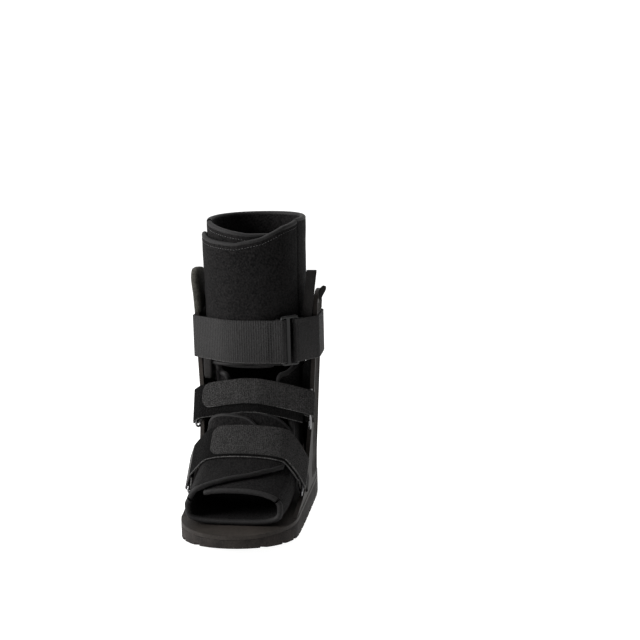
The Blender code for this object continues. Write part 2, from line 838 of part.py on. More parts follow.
def hold_strap(name, end, frame, strap_width):
    """Cuts the slot, and makes the ring and the webbing loop that holds it."""
    local = frame @ Matrix.Translation((0, 0, end.drop))
    slot_place = local @ Matrix.Translation((end.wall, end.slot, 0))
    cut(shell, box(name + "_slot", (4 * WALL, SLOT_WIDTH, end.chape_width + 2 * SLOT_ROOM), slot_place))
    settle(shell)
    inner_width = WALL + 2 * CHAPE_ROOM
    rear = end.slot - SLOT_WIDTH / 2 + CLEARANCE + CHAPE_THICKNESS
    front = end.back_bar.y + RING_WIRE / 2 + CLEARANCE
    inner_length = front - rear
    middle = local @ Matrix.Translation((end.wall, (rear + front) / 2, 0))
    inside = rounded_rectangle(inner_width, inner_length, CHAPE_CORNER)
    outside = rounded_rectangle(
        inner_width + 2 * CHAPE_THICKNESS, inner_length + 2 * CHAPE_THICKNESS, CHAPE_CORNER + CHAPE_THICKNESS
    )
    flat_outline(name + "_chape", [outside, inside], end.chape_width, webbing, middle)
    across = end.front_bar - end.back_bar
    centre = (end.front_bar + end.back_bar) / 2
    turn = Matrix.Rotation(math.atan2(across.y, across.x), 4, "Z") @ Matrix.Rotation(math.pi / 2, 4, "X")
    ring_place = local @ Matrix.Translation((centre.x, centre.y, 0)) @ turn
    wire_ring(name + "_ring", across.length, strap_width + 2 * RING_ROOM, ring_place)


def crossing_strap(name, frame, ends, width, tab_width, tab_middle, tab_tip, under):
    """A black strap from the left ring across the boot, and the grey tab that turns back round the right."""
    left, right = ends
    left_bar, right_bar = left.front_bar, right.front_bar

    def drift(x, y):
        end = right if x > 0 else left
        return end.drop * min(1.0, max(0.0, y / end.front_bar.y)) ** DRIFT_POWER

    points = band_points(under, frame, drift, width / 2, max(left_bar.y, right_bar.y) - FOLD_LEG)
    close = grown(points, UNDER)

    taut = [p for p in hull_loop(close + disc(left_bar, FOLD_RADIUS)) if p.x < 0 and p.y > left_bar.y]
    left_leg = walk(taut[::-1], [FOLD_LEG])[0]
    lifted = disc(left_leg, LAYER)

    tab_core = grown(points, UNDER + LAYER) + disc(left_leg, 2 * LAYER) + disc(left_bar, FOLD_RADIUS + LAYER)
    outer = [p for p in hull_loop(tab_core + disc(right_bar, FOLD_RADIUS)) if p.y > right_bar.y]
    outer = left_to(outer, -tab_tip)
    upward = (walk(outer, [FOLD_LEG])[0] - outer[0]).normalized()
    outward = Vector((upward.y, -upward.x))
    right_leg = walk(outer, [FOLD_LEG])[0] - outward * LAYER
    turn = angle_of(outward)
    fold = arc(right_bar, FOLD_RADIUS, turn - 180, turn)
    rest = faceted([fold[-1]] + [p for p in outer if (p - right_bar).length > FOLD_RADIUS + CLEARANCE])
    total = length_of(rest)
    main = [p for i, p in enumerate(rest) if 0 < length_of(rest[: i + 1]) < total - TAB_TIP_ROUND]
    tip = walk(rest, [total - TAB_TIP_ROUND * share for share in (1.0, 0.75, 0.5, 0.3, 0.15, 0.05, 0.0)])
    tab_line = [right_leg] + fold + main + tip
    band(name + "_tab", tab_line, tab_width, grey_pile, frame, drift, tab_middle, TAB_TIP_ROUND)

    base = hull_loop(close + lifted + disc(left_bar, FOLD_RADIUS) + [right_leg])
    first = min(range(len(base)), key=lambda i: (base[i] - right_leg).length)
    base = [p for p in base[first:] if p.y > left_bar.y or p.x > 0]
    base = [p for p in base if (p - left_bar).length > FOLD_RADIUS + CLEARANCE]
    downward = (base[-1] - left_bar).normalized()
    turn = angle_of(Vector((-downward.y, downward.x)))
    fold = arc(left_bar, FOLD_RADIUS, turn, turn + 180)
    start = base[0] + (base[1] - base[0]).normalized() * FOLD_GAP
    line = faceted([start] + base[1:] + [fold[0]])
    band(name, line + fold[1:] + [left_leg], width, loop_pile, frame, drift)
    for side, end in (("left", left), ("right", right)):
        hold_strap(name + "_" + side, end, frame, width)


crossing_strap(
    "middle_strap",
    strap_frame(*MIDDLE_STRAP_PLACE, MIDDLE_STRAP_TILT),
    (
        StrapEnd("left", 0.0594, -0.0445, -0.0320, -0.0247, 0.0130, CHAPE_WIDTH),
        StrapEnd("right", 0.0615, -0.0445, -0.0320, -0.0247, 0.0130, CHAPE_WIDTH),
    ),
    MIDDLE_STRAP_WIDTH,
    MIDDLE_TAB_WIDTH,
    -(MIDDLE_STRAP_WIDTH - MIDDLE_TAB_WIDTH) / 2 + TAB_MARGIN,
    MIDDLE_TAB_TIP,
    (liner_body, calf_under, calf_over, foot_under, foot_over),
)
crossing_strap(
    "lower_strap",
    strap_frame(*LOWER_STRAP_PLACE, LOWER_STRAP_TILT),
    (
        StrapEnd("left", 0.0578, -0.0600, -0.0397, -0.0297, 0.0220, LOWER_CHAPE_WIDTH),
        StrapEnd("right", 0.0578, -0.0600, -0.0455, -0.0370, 0.0160, LOWER_CHAPE_WIDTH),
    ),
    LOWER_STRAP_WIDTH,
    LOWER_TAB_WIDTH,
    -(LOWER_STRAP_WIDTH - LOWER_TAB_WIDTH) / 2 + TAB_MARGIN,
    LOWER_TAB_TIP,
    (liner_body, foot_under, foot_over),
)


def make_pull_tab():
    """A folded webbing loop that stands before the right strut, under the top strap, and opens above it."""
    top = STRUT_TOPS["right"] + PULL_TAB_RISE
    free = TOP_STRAP_HEIGHT + TOP_STRAP_WIDTH / 2
    rear = -STRUT_HALF_WIDTH - PULL_TAB_ROOM - CHAPE_THICKNESS / 2
    front = rear - CHAPE_THICKNESS - CLEARANCE
    crown = Vector(((rear + front) / 2, top - PULL_TAB_LOOP - CHAPE_THICKNESS / 2))
    loop = arc(crown, PULL_TAB_LOOP, -40, 220, 10)
    line = [Vector((rear, PULL_TAB_BOTTOM)), Vector((rear, free))] + loop
    line += [Vector((front, free)), Vector((front, PULL_TAB_BOTTOM))]
    rows = []
    for y, z in line:
        middle = PULL_TAB_MIDDLE + PULL_TAB_LEAN * max(0.0, z - free) / (top - free)
        rows.append([Vector((middle + side * PULL_TAB_WIDTH / 2, y, z)) for side in (-1, 1)])
    return settle(sheet_between("pull_tab", rows, CHAPE_THICKNESS, webbing, offset=0.0))


def make_top_strap():
    """The wide strap round the calf and both struts, both its ends folded over the buckle's outer bars."""
    frame = strap_frame(0.0, TOP_STRAP_HEIGHT, 0.0)
    beneath = (shell, liner_body, calf_under, calf_over, pull_tab)
    points = band_points(beneath, frame, no_drift, TOP_STRAP_WIDTH / 2)
    close = grown(points, UNDER)
    along = Vector((math.cos(BUCKLE_TURN), -math.sin(BUCKLE_TURN)))
    outward = Vector((-along.y, along.x))
    first_bar = Vector(BUCKLE_PLACE)
    last_bar = first_bar + along * BUCKLE_REACH
    turn = angle_of(outward)
    radius = math.hypot(BUCKLE_DEPTH, BUCKLE_BAR) / 2 + UNDER
    around = hull_loop(close)
    leg = [p for p in around if 0 < (first_bar - p).dot(along) < FOLD_LEG and p.dot(outward) > 0]
    leg.sort(key=lambda p: (first_bar - p).dot(along))
    lifted = [corner for point in leg for corner in disc(point, LAYER)]
    loop = hull_loop(close + lifted + disc(first_bar, radius) + disc(last_bar, radius))[::-1]

    def outside_last_bar(i):
        from_last = loop[i] - last_bar
        return from_last.dot(outward) - abs(from_last.dot(along))

    def between_folds(point):
        from_first, from_last = point - first_bar, point - last_bar
        on_first = from_first.length < radius + CLEARANCE and from_first.dot(along) > -CLEARANCE
        on_last = from_last.length < radius + CLEARANCE and from_last.dot(along) < CLEARANCE
        return on_first or on_last

    start = max(range(len(loop)), key=outside_last_bar)
    loop = [point for point in loop[start:] + loop[:start] if not between_folds(point)]
    first_fold = arc(last_bar, radius, turn + 180, turn)
    leaving = [i for i, p in enumerate(loop) if (p - last_bar).length > radius + CLEARANCE][0]
    departure = (loop[leaving] - loop[leaving - 1]).normalized()
    last_leg = loop[leaving - 1] + departure * BUCKLE_LEG - Vector((-departure.y, departure.x)) * LAYER
    last_fold = arc(first_bar, radius, turn, turn - 180)
    way = faceted([first_fold[-1]] + loop + [last_fold[0]])
    line = [last_leg] + first_fold + way[1:-1] + last_fold + faceted([last_fold[-1]] + leg)[1:]
    band("top_strap", line, TOP_STRAP_WIDTH, ribbed, frame)

    length = BUCKLE_REACH + BUCKLE_BAR
    height = TOP_STRAP_WIDTH + 2 * (BUCKLE_RIM + BUCKLE_ROOM)
    outline = rounded_rectangle(length, height, BUCKLE_CORNER)
    slot = radius + STRAP_THICKNESS / 2 + CLEARANCE - BUCKLE_BAR / 2
    edge = length / 2 - BUCKLE_BAR
    inside = height / 2 - BUCKLE_RIM
    spans = ((-edge, slot - edge), (edge - BUCKLE_WINDOW, edge))
    holes = [[(a, -inside), (b, -inside), (b, inside), (a, inside)] for a, b in spans]
    centre = (first_bar + last_bar) / 2
    matrix = Matrix.Identity(4)
    for row in range(3):
        matrix[row][0] = (along.x, along.y, 0)[row]
        matrix[row][1] = (0, 0, -1)[row]
        matrix[row][2] = (outward.x, outward.y, 0)[row]
    matrix.translation = Vector((centre.x, centre.y, 0))
    flat_outline("top_buckle", [outline] + holes, BUCKLE_DEPTH, black_plastic, frame @ matrix)


pull_tab = make_pull_tab()
make_top_strap()
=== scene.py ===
"""Looks of a short walking boot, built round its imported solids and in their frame."""

import math

import bmesh
import bpy
from mathutils import Matrix, Vector, noise


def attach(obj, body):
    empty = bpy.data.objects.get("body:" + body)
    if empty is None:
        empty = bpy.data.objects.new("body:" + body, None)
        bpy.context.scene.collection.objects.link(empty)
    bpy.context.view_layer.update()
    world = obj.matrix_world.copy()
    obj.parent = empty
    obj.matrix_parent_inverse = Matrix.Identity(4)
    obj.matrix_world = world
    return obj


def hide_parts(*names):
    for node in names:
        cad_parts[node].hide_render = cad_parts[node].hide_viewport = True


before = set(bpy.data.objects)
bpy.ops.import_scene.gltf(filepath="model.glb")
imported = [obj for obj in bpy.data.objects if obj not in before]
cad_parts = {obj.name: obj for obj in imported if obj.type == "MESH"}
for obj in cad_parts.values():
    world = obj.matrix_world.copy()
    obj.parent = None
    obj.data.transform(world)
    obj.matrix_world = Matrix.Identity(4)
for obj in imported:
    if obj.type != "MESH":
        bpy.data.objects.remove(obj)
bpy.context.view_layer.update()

# View, floor and light: a plain pale floor under a white sky, with soft boxes at the left, right and above.
# The camera stands where the photograph was taken from, a little above the boot and towards its inner side.
SENSOR_WIDTH, LENS = 36.0, 68.9  # both in millimetres
CAMERA_TURN, CAMERA_TILT, CAMERA_ROLL = math.radians(8.6), math.radians(10.8), math.radians(-1.3)
CAMERA_PLACE = Vector((0.2665, -1.3009, 0.4560))
camera_data = bpy.data.cameras.new("camera")
camera_data.sensor_width = SENSOR_WIDTH
camera_data.lens = LENS
camera = bpy.data.objects.new("camera", camera_data)
bpy.context.scene.collection.objects.link(camera)
back = Vector(
    (
        math.sin(CAMERA_TURN) * math.cos(CAMERA_TILT),
        -math.cos(CAMERA_TURN) * math.cos(CAMERA_TILT),
        math.sin(CAMERA_TILT),
    )
)
level = Vector((math.cos(CAMERA_TURN), math.sin(CAMERA_TURN), 0.0))
upright = back.cross(level)
sideways = level * math.cos(CAMERA_ROLL) + upright * math.sin(CAMERA_ROLL)
upward = upright * math.cos(CAMERA_ROLL) - level * math.sin(CAMERA_ROLL)
place = Matrix((sideways, upward, back)).transposed().to_4x4()
place.translation = CAMERA_PLACE
camera.matrix_world = place
bpy.context.scene.camera = camera

SKY_STRENGTH = 0.20
sky = bpy.data.worlds.new("white_sky")
sky.use_nodes = True
sky.node_tree.nodes["Background"].inputs["Color"].default_value = (1.0, 1.0, 1.0, 1.0)
sky.node_tree.nodes["Background"].inputs["Strength"].default_value = SKY_STRENGTH
bpy.context.scene.world = sky
bpy.context.scene.view_settings.view_transform = "Standard"


BOX_SIDE = 0.8


def soft_box(name, spot, target, watts):
    light = bpy.data.lights.new(name, "AREA")
    light.shape = "SQUARE"
    light.size = BOX_SIDE
    light.energy = watts
    lamp = bpy.data.objects.new(name, light)
    bpy.context.scene.collection.objects.link(lamp)
    lamp.location = spot
    lamp.rotation_euler = (Vector(target) - Vector(spot)).to_track_quat("-Z", "Y").to_euler()


soft_box("key_light", spot=(-1.20, -0.55, 0.75), target=(0.0, -0.05, 0.14), watts=40.0)
soft_box("fill_light", spot=(1.1, -1.0, 0.9), target=(0.0, -0.03, 0.14), watts=1.0)
soft_box("top_light", spot=(-0.1, 0.3, 1.4), target=(0.0, 0.0, 0.16), watts=10.0)

FLOOR_HALF, BEND_START, BEND_RADIUS, WALL_TOP = 5.0, 2.0, 1.5, 5.0
BEND_STEPS = 16
floor_mesh = bpy.data.meshes.new("floor")
floor_shape = bmesh.new()
profile = [(-FLOOR_HALF, 0.0)]
for i in range(BEND_STEPS + 1):
    a = math.radians(90 * i / BEND_STEPS)
    profile.append((BEND_START + BEND_RADIUS * math.sin(a), BEND_RADIUS - BEND_RADIUS * math.cos(a)))
profile.append((BEND_START + BEND_RADIUS, WALL_TOP))
sides = [[floor_shape.verts.new((x, y, z)) for y, z in profile] for x in (-FLOOR_HALF, FLOOR_HALF)]
for i in range(len(profile) - 1):
    floor_shape.faces.new((sides[0][i], sides[1][i], sides[1][i + 1], sides[0][i + 1])).smooth = True
floor_shape.to_mesh(floor_mesh)
floor_shape.free()
floor = bpy.data.objects.new("floor", floor_mesh)
bpy.context.scene.collection.objects.link(floor)
paper = bpy.data.materials.new("white_paper")
paper.use_nodes = True
paper_shader = paper.node_tree.nodes["Principled BSDF"]
paper_shader.inputs["Base Color"].default_value = (0.30, 0.30, 0.30, 1.0)
paper_shader.inputs["Roughness"].default_value = 1.0
paper_shader.inputs["Specular IOR Level"].default_value = 0.0
paper_shader.inputs["Emission Color"].default_value = (1.0, 1.0, 1.0, 1.0)
paper_shader.inputs["Emission Strength"].default_value = 0.97
floor_mesh.materials.append(paper)


# Outsole: black moulded rubber under the whole footplate, curled up at toe and heel, its tread cut across.
# The moulded edges are slightly rounded, and the skin has a fine spark-eroded grain with dust in it.
def merged_solid(node):
    """The node's mesh as one closed shape with its flat faces whole."""
    shape = bmesh.new()
    shape.from_mesh(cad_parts[node].data)
    bmesh.ops.remove_doubles(shape, verts=shape.verts, dist=0.00001)
    bmesh.ops.dissolve_limit(shape, angle_limit=math.radians(0.4), verts=shape.verts, edges=shape.edges)
    return shape


def all_smooth(shape):
    for face in shape.faces:
        face.smooth = True


def new_piece(name, shape, material, node=None):
    """Makes the shape a piece that rides on the boot, and that stands for its solid where it has one."""
    mesh = bpy.data.meshes.new(name)
    shape.to_mesh(mesh)
    shape.free()
    mesh.materials.append(material)
    piece = bpy.data.objects.new(name, mesh)
    bpy.context.scene.collection.objects.link(piece)
    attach(piece, "root")
    if node:
        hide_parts(node)
    return piece


NOISE_RANGE = (0.36, 0.64)  # most of a noise's values lie between these


def pattern_group(name, settings):
    """A node group with the named settings and two colours, that puts out a colour and a height."""
    group = bpy.data.node_groups.new(name, "ShaderNodeTree")
    for setting in settings:
        group.interface.new_socket(setting, in_out="INPUT", socket_type="NodeSocketFloat")
    for colour in ("Low", "High"):
        group.interface.new_socket(colour, in_out="INPUT", socket_type="NodeSocketColor")
    group.interface.new_socket("Color", in_out="OUTPUT", socket_type="NodeSocketColor")
    group.interface.new_socket("Height", in_out="OUTPUT", socket_type="NodeSocketFloat")
    return group, group.nodes.new("NodeGroupInput"), group.nodes.new("NodeGroupOutput")


def mixed(group, factor, one, two, kind="FLOAT"):
    """The socket that mixes two others of this kind by a factor."""
    mix = group.nodes.new("ShaderNodeMix")
    mix.data_type = kind
    first, result = {"FLOAT": (2, 0), "RGBA": (6, 2)}[kind]  # where the node keeps this kind's sockets
    group.links.new(factor, mix.inputs[0])
    group.links.new(one, mix.inputs[first])
    group.links.new(two, mix.inputs[first + 1])
    return mix.outputs[result]


def noise_of(group, detail=2.0, scale=None):
    """A noise node over the object's own coordinates."""
    where = group.nodes.new("ShaderNodeTexCoord")
    cloud = group.nodes.new("ShaderNodeTexNoise")
    cloud.inputs["Detail"].default_value = detail
    if scale:
        cloud.inputs["Scale"].default_value = scale
    group.links.new(where.outputs["Object"], cloud.inputs["Vector"])
    return cloud


def stretched(group, value):
    """The noise's usual range spread out to all from 0 to 1."""
    spreader = group.nodes.new("ShaderNodeMapRange")
    spreader.inputs["From Min"].default_value, spreader.inputs["From Max"].default_value = NOISE_RANGE
    group.links.new(value, spreader.inputs["Value"])
    return spreader.outputs["Result"]


def grain_group():
    """Fine grain over slow mottling, as a colour between two and a height."""
    group, given, out = pattern_group("grain", ("Scale", "Slow", "Share"))
    fine, slow = noise_of(group, detail=3.0), noise_of(group, detail=4.0)
    group.links.new(given.outputs["Scale"], fine.inputs["Scale"])
    group.links.new(given.outputs["Slow"], slow.inputs["Scale"])
    blend = mixed(group, given.outputs["Share"], fine.outputs["Fac"], slow.outputs["Fac"])
    colour = mixed(group, stretched(group, blend), given.outputs["Low"], given.outputs["High"], "RGBA")
    group.links.new(colour, out.inputs["Color"])
    group.links.new(fine.outputs["Fac"], out.inputs["Height"])
    return group


GRAIN = grain_group()


def patterned(name, group, settings, low, high, bump, roughness, specular=0.5, metallic=0.0):
    """A material whose colour and relief come from the group. The bump's height is in metres."""
    material = bpy.data.materials.new(name)
    material.use_nodes = True
    nodes, links = material.node_tree.nodes, material.node_tree.links
    shader = nodes["Principled BSDF"]
    pattern = nodes.new("ShaderNodeGroup")
    pattern.node_tree = group
    for setting, value in settings.items():
        pattern.inputs[setting].default_value = value
    pattern.inputs["Low"].default_value = (*low, 1.0)
    pattern.inputs["High"].default_value = (*high, 1.0)
    links.new(pattern.outputs["Color"], shader.inputs["Base Color"])
    relief = nodes.new("ShaderNodeBump")
    relief.inputs["Distance"].default_value = bump
    links.new(pattern.outputs["Height"], relief.inputs["Height"])
    links.new(relief.outputs["Normal"], shader.inputs["Normal"])
    shader.inputs["Roughness"].default_value = roughness
    shader.inputs["Metallic"].default_value = metallic
    shader.inputs["Specular IOR Level"].default_value = specular
    return material


def soften(piece, width, segments, degrees):
    """Rounds the piece's edges that are sharper than so many degrees."""
    edges = piece.modifiers.new("soft_edges", "BEVEL")
    edges.width = width
    edges.segments = segments
    edges.limit_method = "ANGLE"
    edges.angle_limit = math.radians(degrees)


rubber = patterned(
    "black_rubber",
    GRAIN,
    {"Scale": 700, "Slow": 60, "Share": 0.5},
    low=(0.009, 0.008, 0.0075),
    high=(0.028, 0.0235, 0.0215),
    bump=0.00015,
    roughness=0.75,
    specular=0.10,
)
tread = merged_solid("outsole")
all_smooth(tread)
outsole = new_piece("rubber_outsole", tread, rubber, "outsole")
soften(outsole, width=0.0008, segments=2, degrees=40)


# Shell: the moulded footplate with its side wings and struts, dark brown plastic with a satin skin.
# Its rims are rounded by the mould, and the strut faces carry shallow ridges that run up them.
moulded = patterned(
    "dark_brown_plastic",
    GRAIN,
    {"Scale": 600, "Slow": 22, "Share": 0.6},
    low=(0.0090, 0.0078, 0.0068),
    high=(0.0290, 0.0245, 0.0215),
    bump=0.00012,
    roughness=0.60,
    specular=0.12,
)


def sharp_edges(shape, degrees):
    limit = math.radians(degrees)
    return [e for e in shape.edges if len(e.link_faces) == 2 and e.calc_face_angle(0.0) > limit]


def shade_smooth(shape, degrees):
    """Smooth shading that stops at edges sharper than so many degrees."""
    all_smooth(shape)
    for edge in sharp_edges(shape, degrees):
        edge.smooth = False


shell_shape = merged_solid("shell")
shade_smooth(shell_shape, 30.0)
shell = new_piece("moulded_shell", shell_shape, moulded, "shell")
HEEL_HALF_WIDTH, HEEL_START, HEEL_LENGTH, HEEL_SQUARENESS = 0.060, -0.010, 0.108, 2.6
SOLE_HEIGHT, WALL_LEDGE, STRUT_LEAN = 0.018, 0.0006, 0.0225


def read_table(table, value):
    if value <= table[0][0]:
        return table[0][1]
    for (k0, r0), (k1, r1) in zip(table, table[1:]):
        if value <= k1:
            return r0 + (r1 - r0) * (value - k0) / (k1 - k0)
    return table[-1][1]


STRUT_SHIFT = {  # how far the calf strap's pull sets each strut outward, by height
    -1: ((0.212, 0.0), (0.237, 0.0008), (0.262, 0.0030)),
    1: ((0.050, 0.0), (0.168, 0.0042), (0.240, 0.0066)),
}


def strut_face(side, y, z, proud=0.0):
    """A point of a strut's outer face. The side is -1 at the left and 1 at the right."""
    along_heel = max(0.0, (y - HEEL_START) / HEEL_LENGTH)
    half = HEEL_HALF_WIDTH * (1 - along_heel**HEEL_SQUARENESS) ** (1 / HEEL_SQUARENESS)
    reach = half + STRUT_LEAN * (z - SOLE_HEIGHT) - WALL_LEDGE + read_table(STRUT_SHIFT[side], z)
    return Vector((side * (reach + proud), y, z))


def rod(shape, path, radius, sides=8):
    """A round bar along the path with closed, rounded ends."""
    first_inset = radius * 0.3
    rings = []
    reach = [0.0]
    for a, b in zip(path, path[1:]):
        reach.append(reach[-1] + (b - a).length)
    stations = [0.0, first_inset, radius] + [d for d in reach if radius < d < reach[-1] - radius]
    stations += [reach[-1] - radius, reach[-1] - first_inset, reach[-1]]
    for distance in stations:
        i = max(k for k in range(len(path) - 1) if reach[k] <= distance + 1e-9)
        step = max(1e-9, (path[i + 1] - path[i]).length)
        spot = path[i].lerp(path[i + 1], (distance - reach[i]) / step)
        along = (path[min(i + 1, len(path) - 1)] - path[max(i - 1, 0)]).normalized()
        across = along.cross(Vector((0, 1, 0)) if abs(along.y) < 0.8 else Vector((1, 0, 0))).normalized()
        other = along.cross(across)
        inset = max(0.0, radius - min(distance, reach[-1] - distance))
        round_off = math.sqrt(max(0.04, 1 - (inset / radius) ** 2))
        rings.append(
            [
                shape.verts.new(spot + (across * math.cos(a) + other * math.sin(a)) * radius * round_off)
                for a in (2 * math.pi * k / sides for k in range(sides))
            ]
        )
    for one, two in zip(rings, rings[1:]):
        for k in range(sides):
            shape.faces.new((one[k], one[(k + 1) % sides], two[(k + 1) % sides], two[k])).smooth = True
    shape.faces.new(rings[0][::-1])
    shape.faces.new(rings[-1])


RIB_RADIUS, RIB_SUNK, RIB_STEPS = 0.0009, 0.0002, 12
RIB_BOTTOM, RIB_TOPS = 0.030, {-1: 0.255, 1: 0.233}
RIB_DROPS = {-0.0140: 0.006, -0.0045: 0.0, 0.0050: 0.0, 0.0140: 0.006}  # how much lower each rib ends, by y
STRAP_CLEAR = (0.166, 0.216)  # the ribs leave out the stretch under the calf strap
ribs = bmesh.new()
for side, top in RIB_TOPS.items():
    for y, drop in RIB_DROPS.items():
        for low, high in ((RIB_BOTTOM, STRAP_CLEAR[0]), (STRAP_CLEAR[1], top - drop)):
            stops = [low + (high - low) * i / RIB_STEPS for i in range(RIB_STEPS + 1)]
            rod(ribs, [strut_face(side, y, z, -RIB_SUNK) for z in stops], RIB_RADIUS)
bmesh.ops.recalc_face_normals(ribs, faces=ribs.faces)
new_piece("strut_ribs", ribs, moulded)
soften(shell, width=0.0009, segments=3, degrees=50)


# Liner: a soft boot of foam between two layers of black fleece, one piece under the foot and up the calf's
# back. Four flaps of the same stuff close it in front. Sections from collar to toe give its outer face.
LINER_BOTTOM = 0.0226
COLLAR_TOP, ANKLE_HEIGHT, ANKLE_FRONT = 0.315, 0.150, 0.050
CALF_HALF_WIDTH, CALF_FRONT, CALF_BACK = 0.053, 0.046, 0.070
INSTEP_WIDTH, TOE_OPENING = 0.053, 0.150
INSTEP_SECTION = 11
ANKLE_BACK = CALF_BACK * 0.94
HEEL_ROUNDNESS = 3.4


def heel_reach(turn):
    """How far the heel's round back lies from the ankle's front, at an angle from straight back to down."""
    a = math.radians(turn)
    across = math.cos(a) / (ANKLE_FRONT + ANKLE_BACK)
    down = math.sin(a) / (ANKLE_HEIGHT - LINER_BOTTOM)
    return (across**HEEL_ROUNDNESS + down**HEEL_ROUNDNESS) ** (-1 / HEEL_ROUNDNESS)


def liner_sections():
    """Rows of y, z, turn, half width, front reach, back reach, and squareness in front and at the back."""
    rows = []
    for height, width, front, behind in (  # shares of the calf's height, half width, front and back
        (1.0, 1.010, 1.00, 1.02),
        (0.72, 1.000, 1.00, 1.01),
        (0.44, 0.995, 1.00, 0.99),
        (0.20, 0.975, 1.00, 0.97),
        (0.0, 0.950, 1.00, 0.94),
    ):
        z = ANKLE_HEIGHT + (COLLAR_TOP - ANKLE_HEIGHT) * height
        rows.append((0.0, z, 0.0, CALF_HALF_WIDTH * width, -CALF_FRONT * front, CALF_BACK * behind, 2.2, 2.2))
    for turn, width, front, n in (  # degrees, shares of the width and of the reach, and the back's squareness
        (18.0, 0.935, 0.05, 2.3),
        (36.0, 0.925, 0.07, 2.5),
        (54.0, 0.925, 0.09, 2.8),
        (68.0, 0.930, 0.11, 3.1),
        (78.0, 0.940, 0.12, 3.3),
        (85.0, 0.947, 0.13, 3.4),
        (90.0, 0.955, 0.15, 3.4),
    ):
        reach = heel_reach(turn)
        rows.append((-ANKLE_FRONT, ANKLE_HEIGHT, turn, INSTEP_WIDTH * width, reach * front, reach, 2.2, n))
    down = ANKLE_HEIGHT - LINER_BOTTOM
    for along, width, front in (  # shares of the way to the toes, of the width and of the ankle's height
        (0.12, 0.97, 0.33),
        (0.25, 0.99, 0.46),
        (0.42, 1.00, 0.585),
        (0.60, 1.00, 0.647),
        (0.80, 0.985, 0.679),
        (1.0, 0.955, 0.70),
    ):
        y = -ANKLE_FRONT - (TOE_OPENING - ANKLE_FRONT) * along
        rows.append((y, ANKLE_HEIGHT, 90.0, INSTEP_WIDTH * width, down * front, down, 2.3, 3.6))
    return rows


SECTIONS = liner_sections()
TOE_SECTION = len(SECTIONS) - 1.0


def section_at(s):
    i = min(int(s), len(SECTIONS) - 2)
    t = s - i
    return [a + (b - a) * t for a, b in zip(SECTIONS[i], SECTIONS[i + 1])]


def section_for_height(z):
    for i in range(4):
        upper, lower = SECTIONS[i][1], SECTIONS[i + 1][1]
        if z >= lower:
            return i + (upper - z) / (upper - lower)
    return 4.0


def signed_power(value, exponent):
    return math.copysign(abs(value) ** exponent, value)


def liner_point(s, degrees):
    """A point of the liner's outer face. 0 degrees is the back or bottom, and positive degrees are at +X."""
    oy, oz, turn, half, front, behind, n_front, n_back = section_at(s)
    a = math.radians(degrees)
    n = n_back if abs(degrees) <= 90 else n_front
    middle = (front + behind) / 2
    x = half * signed_power(math.sin(a), 2 / n)
    reach = middle + (behind - middle) * signed_power(math.cos(a), 2 / n)
    t = math.radians(turn)
    return Vector((x, oy + reach * math.cos(t), oz - reach * math.sin(t)))


def liner_normal(s, degrees):
    along = liner_point(min(TOE_SECTION, s + 0.02), degrees) - liner_point(max(0.0, s - 0.02), degrees)
    around = liner_point(s, degrees + 2.0) - liner_point(s, degrees - 2.0)
    normal = along.cross(around).normalized()
    oy, oz, turn, half, front, behind, n_front, n_back = section_at(s)
    t, middle = math.radians(turn), (front + behind) / 2
    centre = Vector((0, oy + middle * math.cos(t), oz - middle * math.sin(t)))
    return normal if normal.dot(liner_point(s, degrees) - centre) > 0 else -normal


def spread(first, last, count, margin=0.0):
    """Even values, with one more close to each end where margin is given."""
    values = [first + (last - first) * i / (count - 1) for i in range(count)]
    if margin:
        step = (last - first) * margin
        values = [values[0], values[0] + step] + values[1:-1] + [values[-1] - step, values[-1]]
    return values


SLOW_SWELL, FINE_SWELL = 55.0, 150.0  # swells in a metre of cloth


def padded_piece(name, columns, thickness, material, node, puff=0.0004):
    """Foam and fleece between a grid of (point, normal) and that grid pushed in, its edges rolled round."""
    shape = bmesh.new()
    borders = []
    for depth in (0.0, thickness):
        grid = [[shape.verts.new(point - normal * depth) for point, normal in column] for column in columns]
        for one, two in zip(grid, grid[1:]):
            for i in range(len(one) - 1):
                shape.faces.new((one[i], one[i + 1], two[i + 1], two[i]))
        borders.append(grid[0] + [c[-1] for c in grid[1:]] + grid[-1][-2::-1] + [c[0] for c in grid[-2:0:-1]])
    outer, inner = borders
    for i in range(len(outer)):
        shape.faces.new((outer[i - 1], outer[i], inner[i], inner[i - 1]))
    bmesh.ops.recalc_face_normals(shape, faces=shape.faces)
    for _ in range(2):
        bmesh.ops.subdivide_edges(shape, edges=shape.edges, cuts=1, smooth=0.0, use_grid_fill=True)
        bmesh.ops.smooth_vert(
            shape, verts=shape.verts, factor=0.5, use_axis_x=True, use_axis_y=True, use_axis_z=True
        )
    shape.normal_update()
    for vert in shape.verts:
        swell = noise.noise(vert.co * SLOW_SWELL) + 0.5 * noise.noise(vert.co * FINE_SWELL)
        vert.co += vert.normal * puff * swell
    all_smooth(shape)
    piece = new_piece(name, shape, material, node)
    return piece


fleece = patterned(
    "black_fleece",
    GRAIN,
    {"Scale": 520, "Slow": 30, "Share": 0.15},
    low=(0.0006, 0.0006, 0.0007),
    high=(0.0100, 0.0093, 0.0093),
    bump=0.0014,
    roughness=0.95,
    specular=0.10,
)
SIDE = 112.0  # the body's free edges lie this far round from its back, in degrees
BODY_EDGE = (
    (0.0, SIDE),
    (3.75, SIDE),
    (4.1, 136.0),
    (5.0, 146.0),
    (7.0, 140.0),
    (9.0, 124.0),
    (INSTEP_SECTION, SIDE),
    (TOE_SECTION, SIDE),
)
LINER_THICKNESS, FLAP_THICKNESS = 0.006, 0.005
body_stations = [0.0, 0.03, 0.5, 1.0, 2.0, 3.0, 3.75, 4.1, 4.5, 5.0, 5.5, 6.0, 6.5, 7.0, 7.5]
body_stations += [float(i) for i in range(8, len(SECTIONS) - 1)] + [TOE_SECTION - 0.07, TOE_SECTION]
body_columns = []
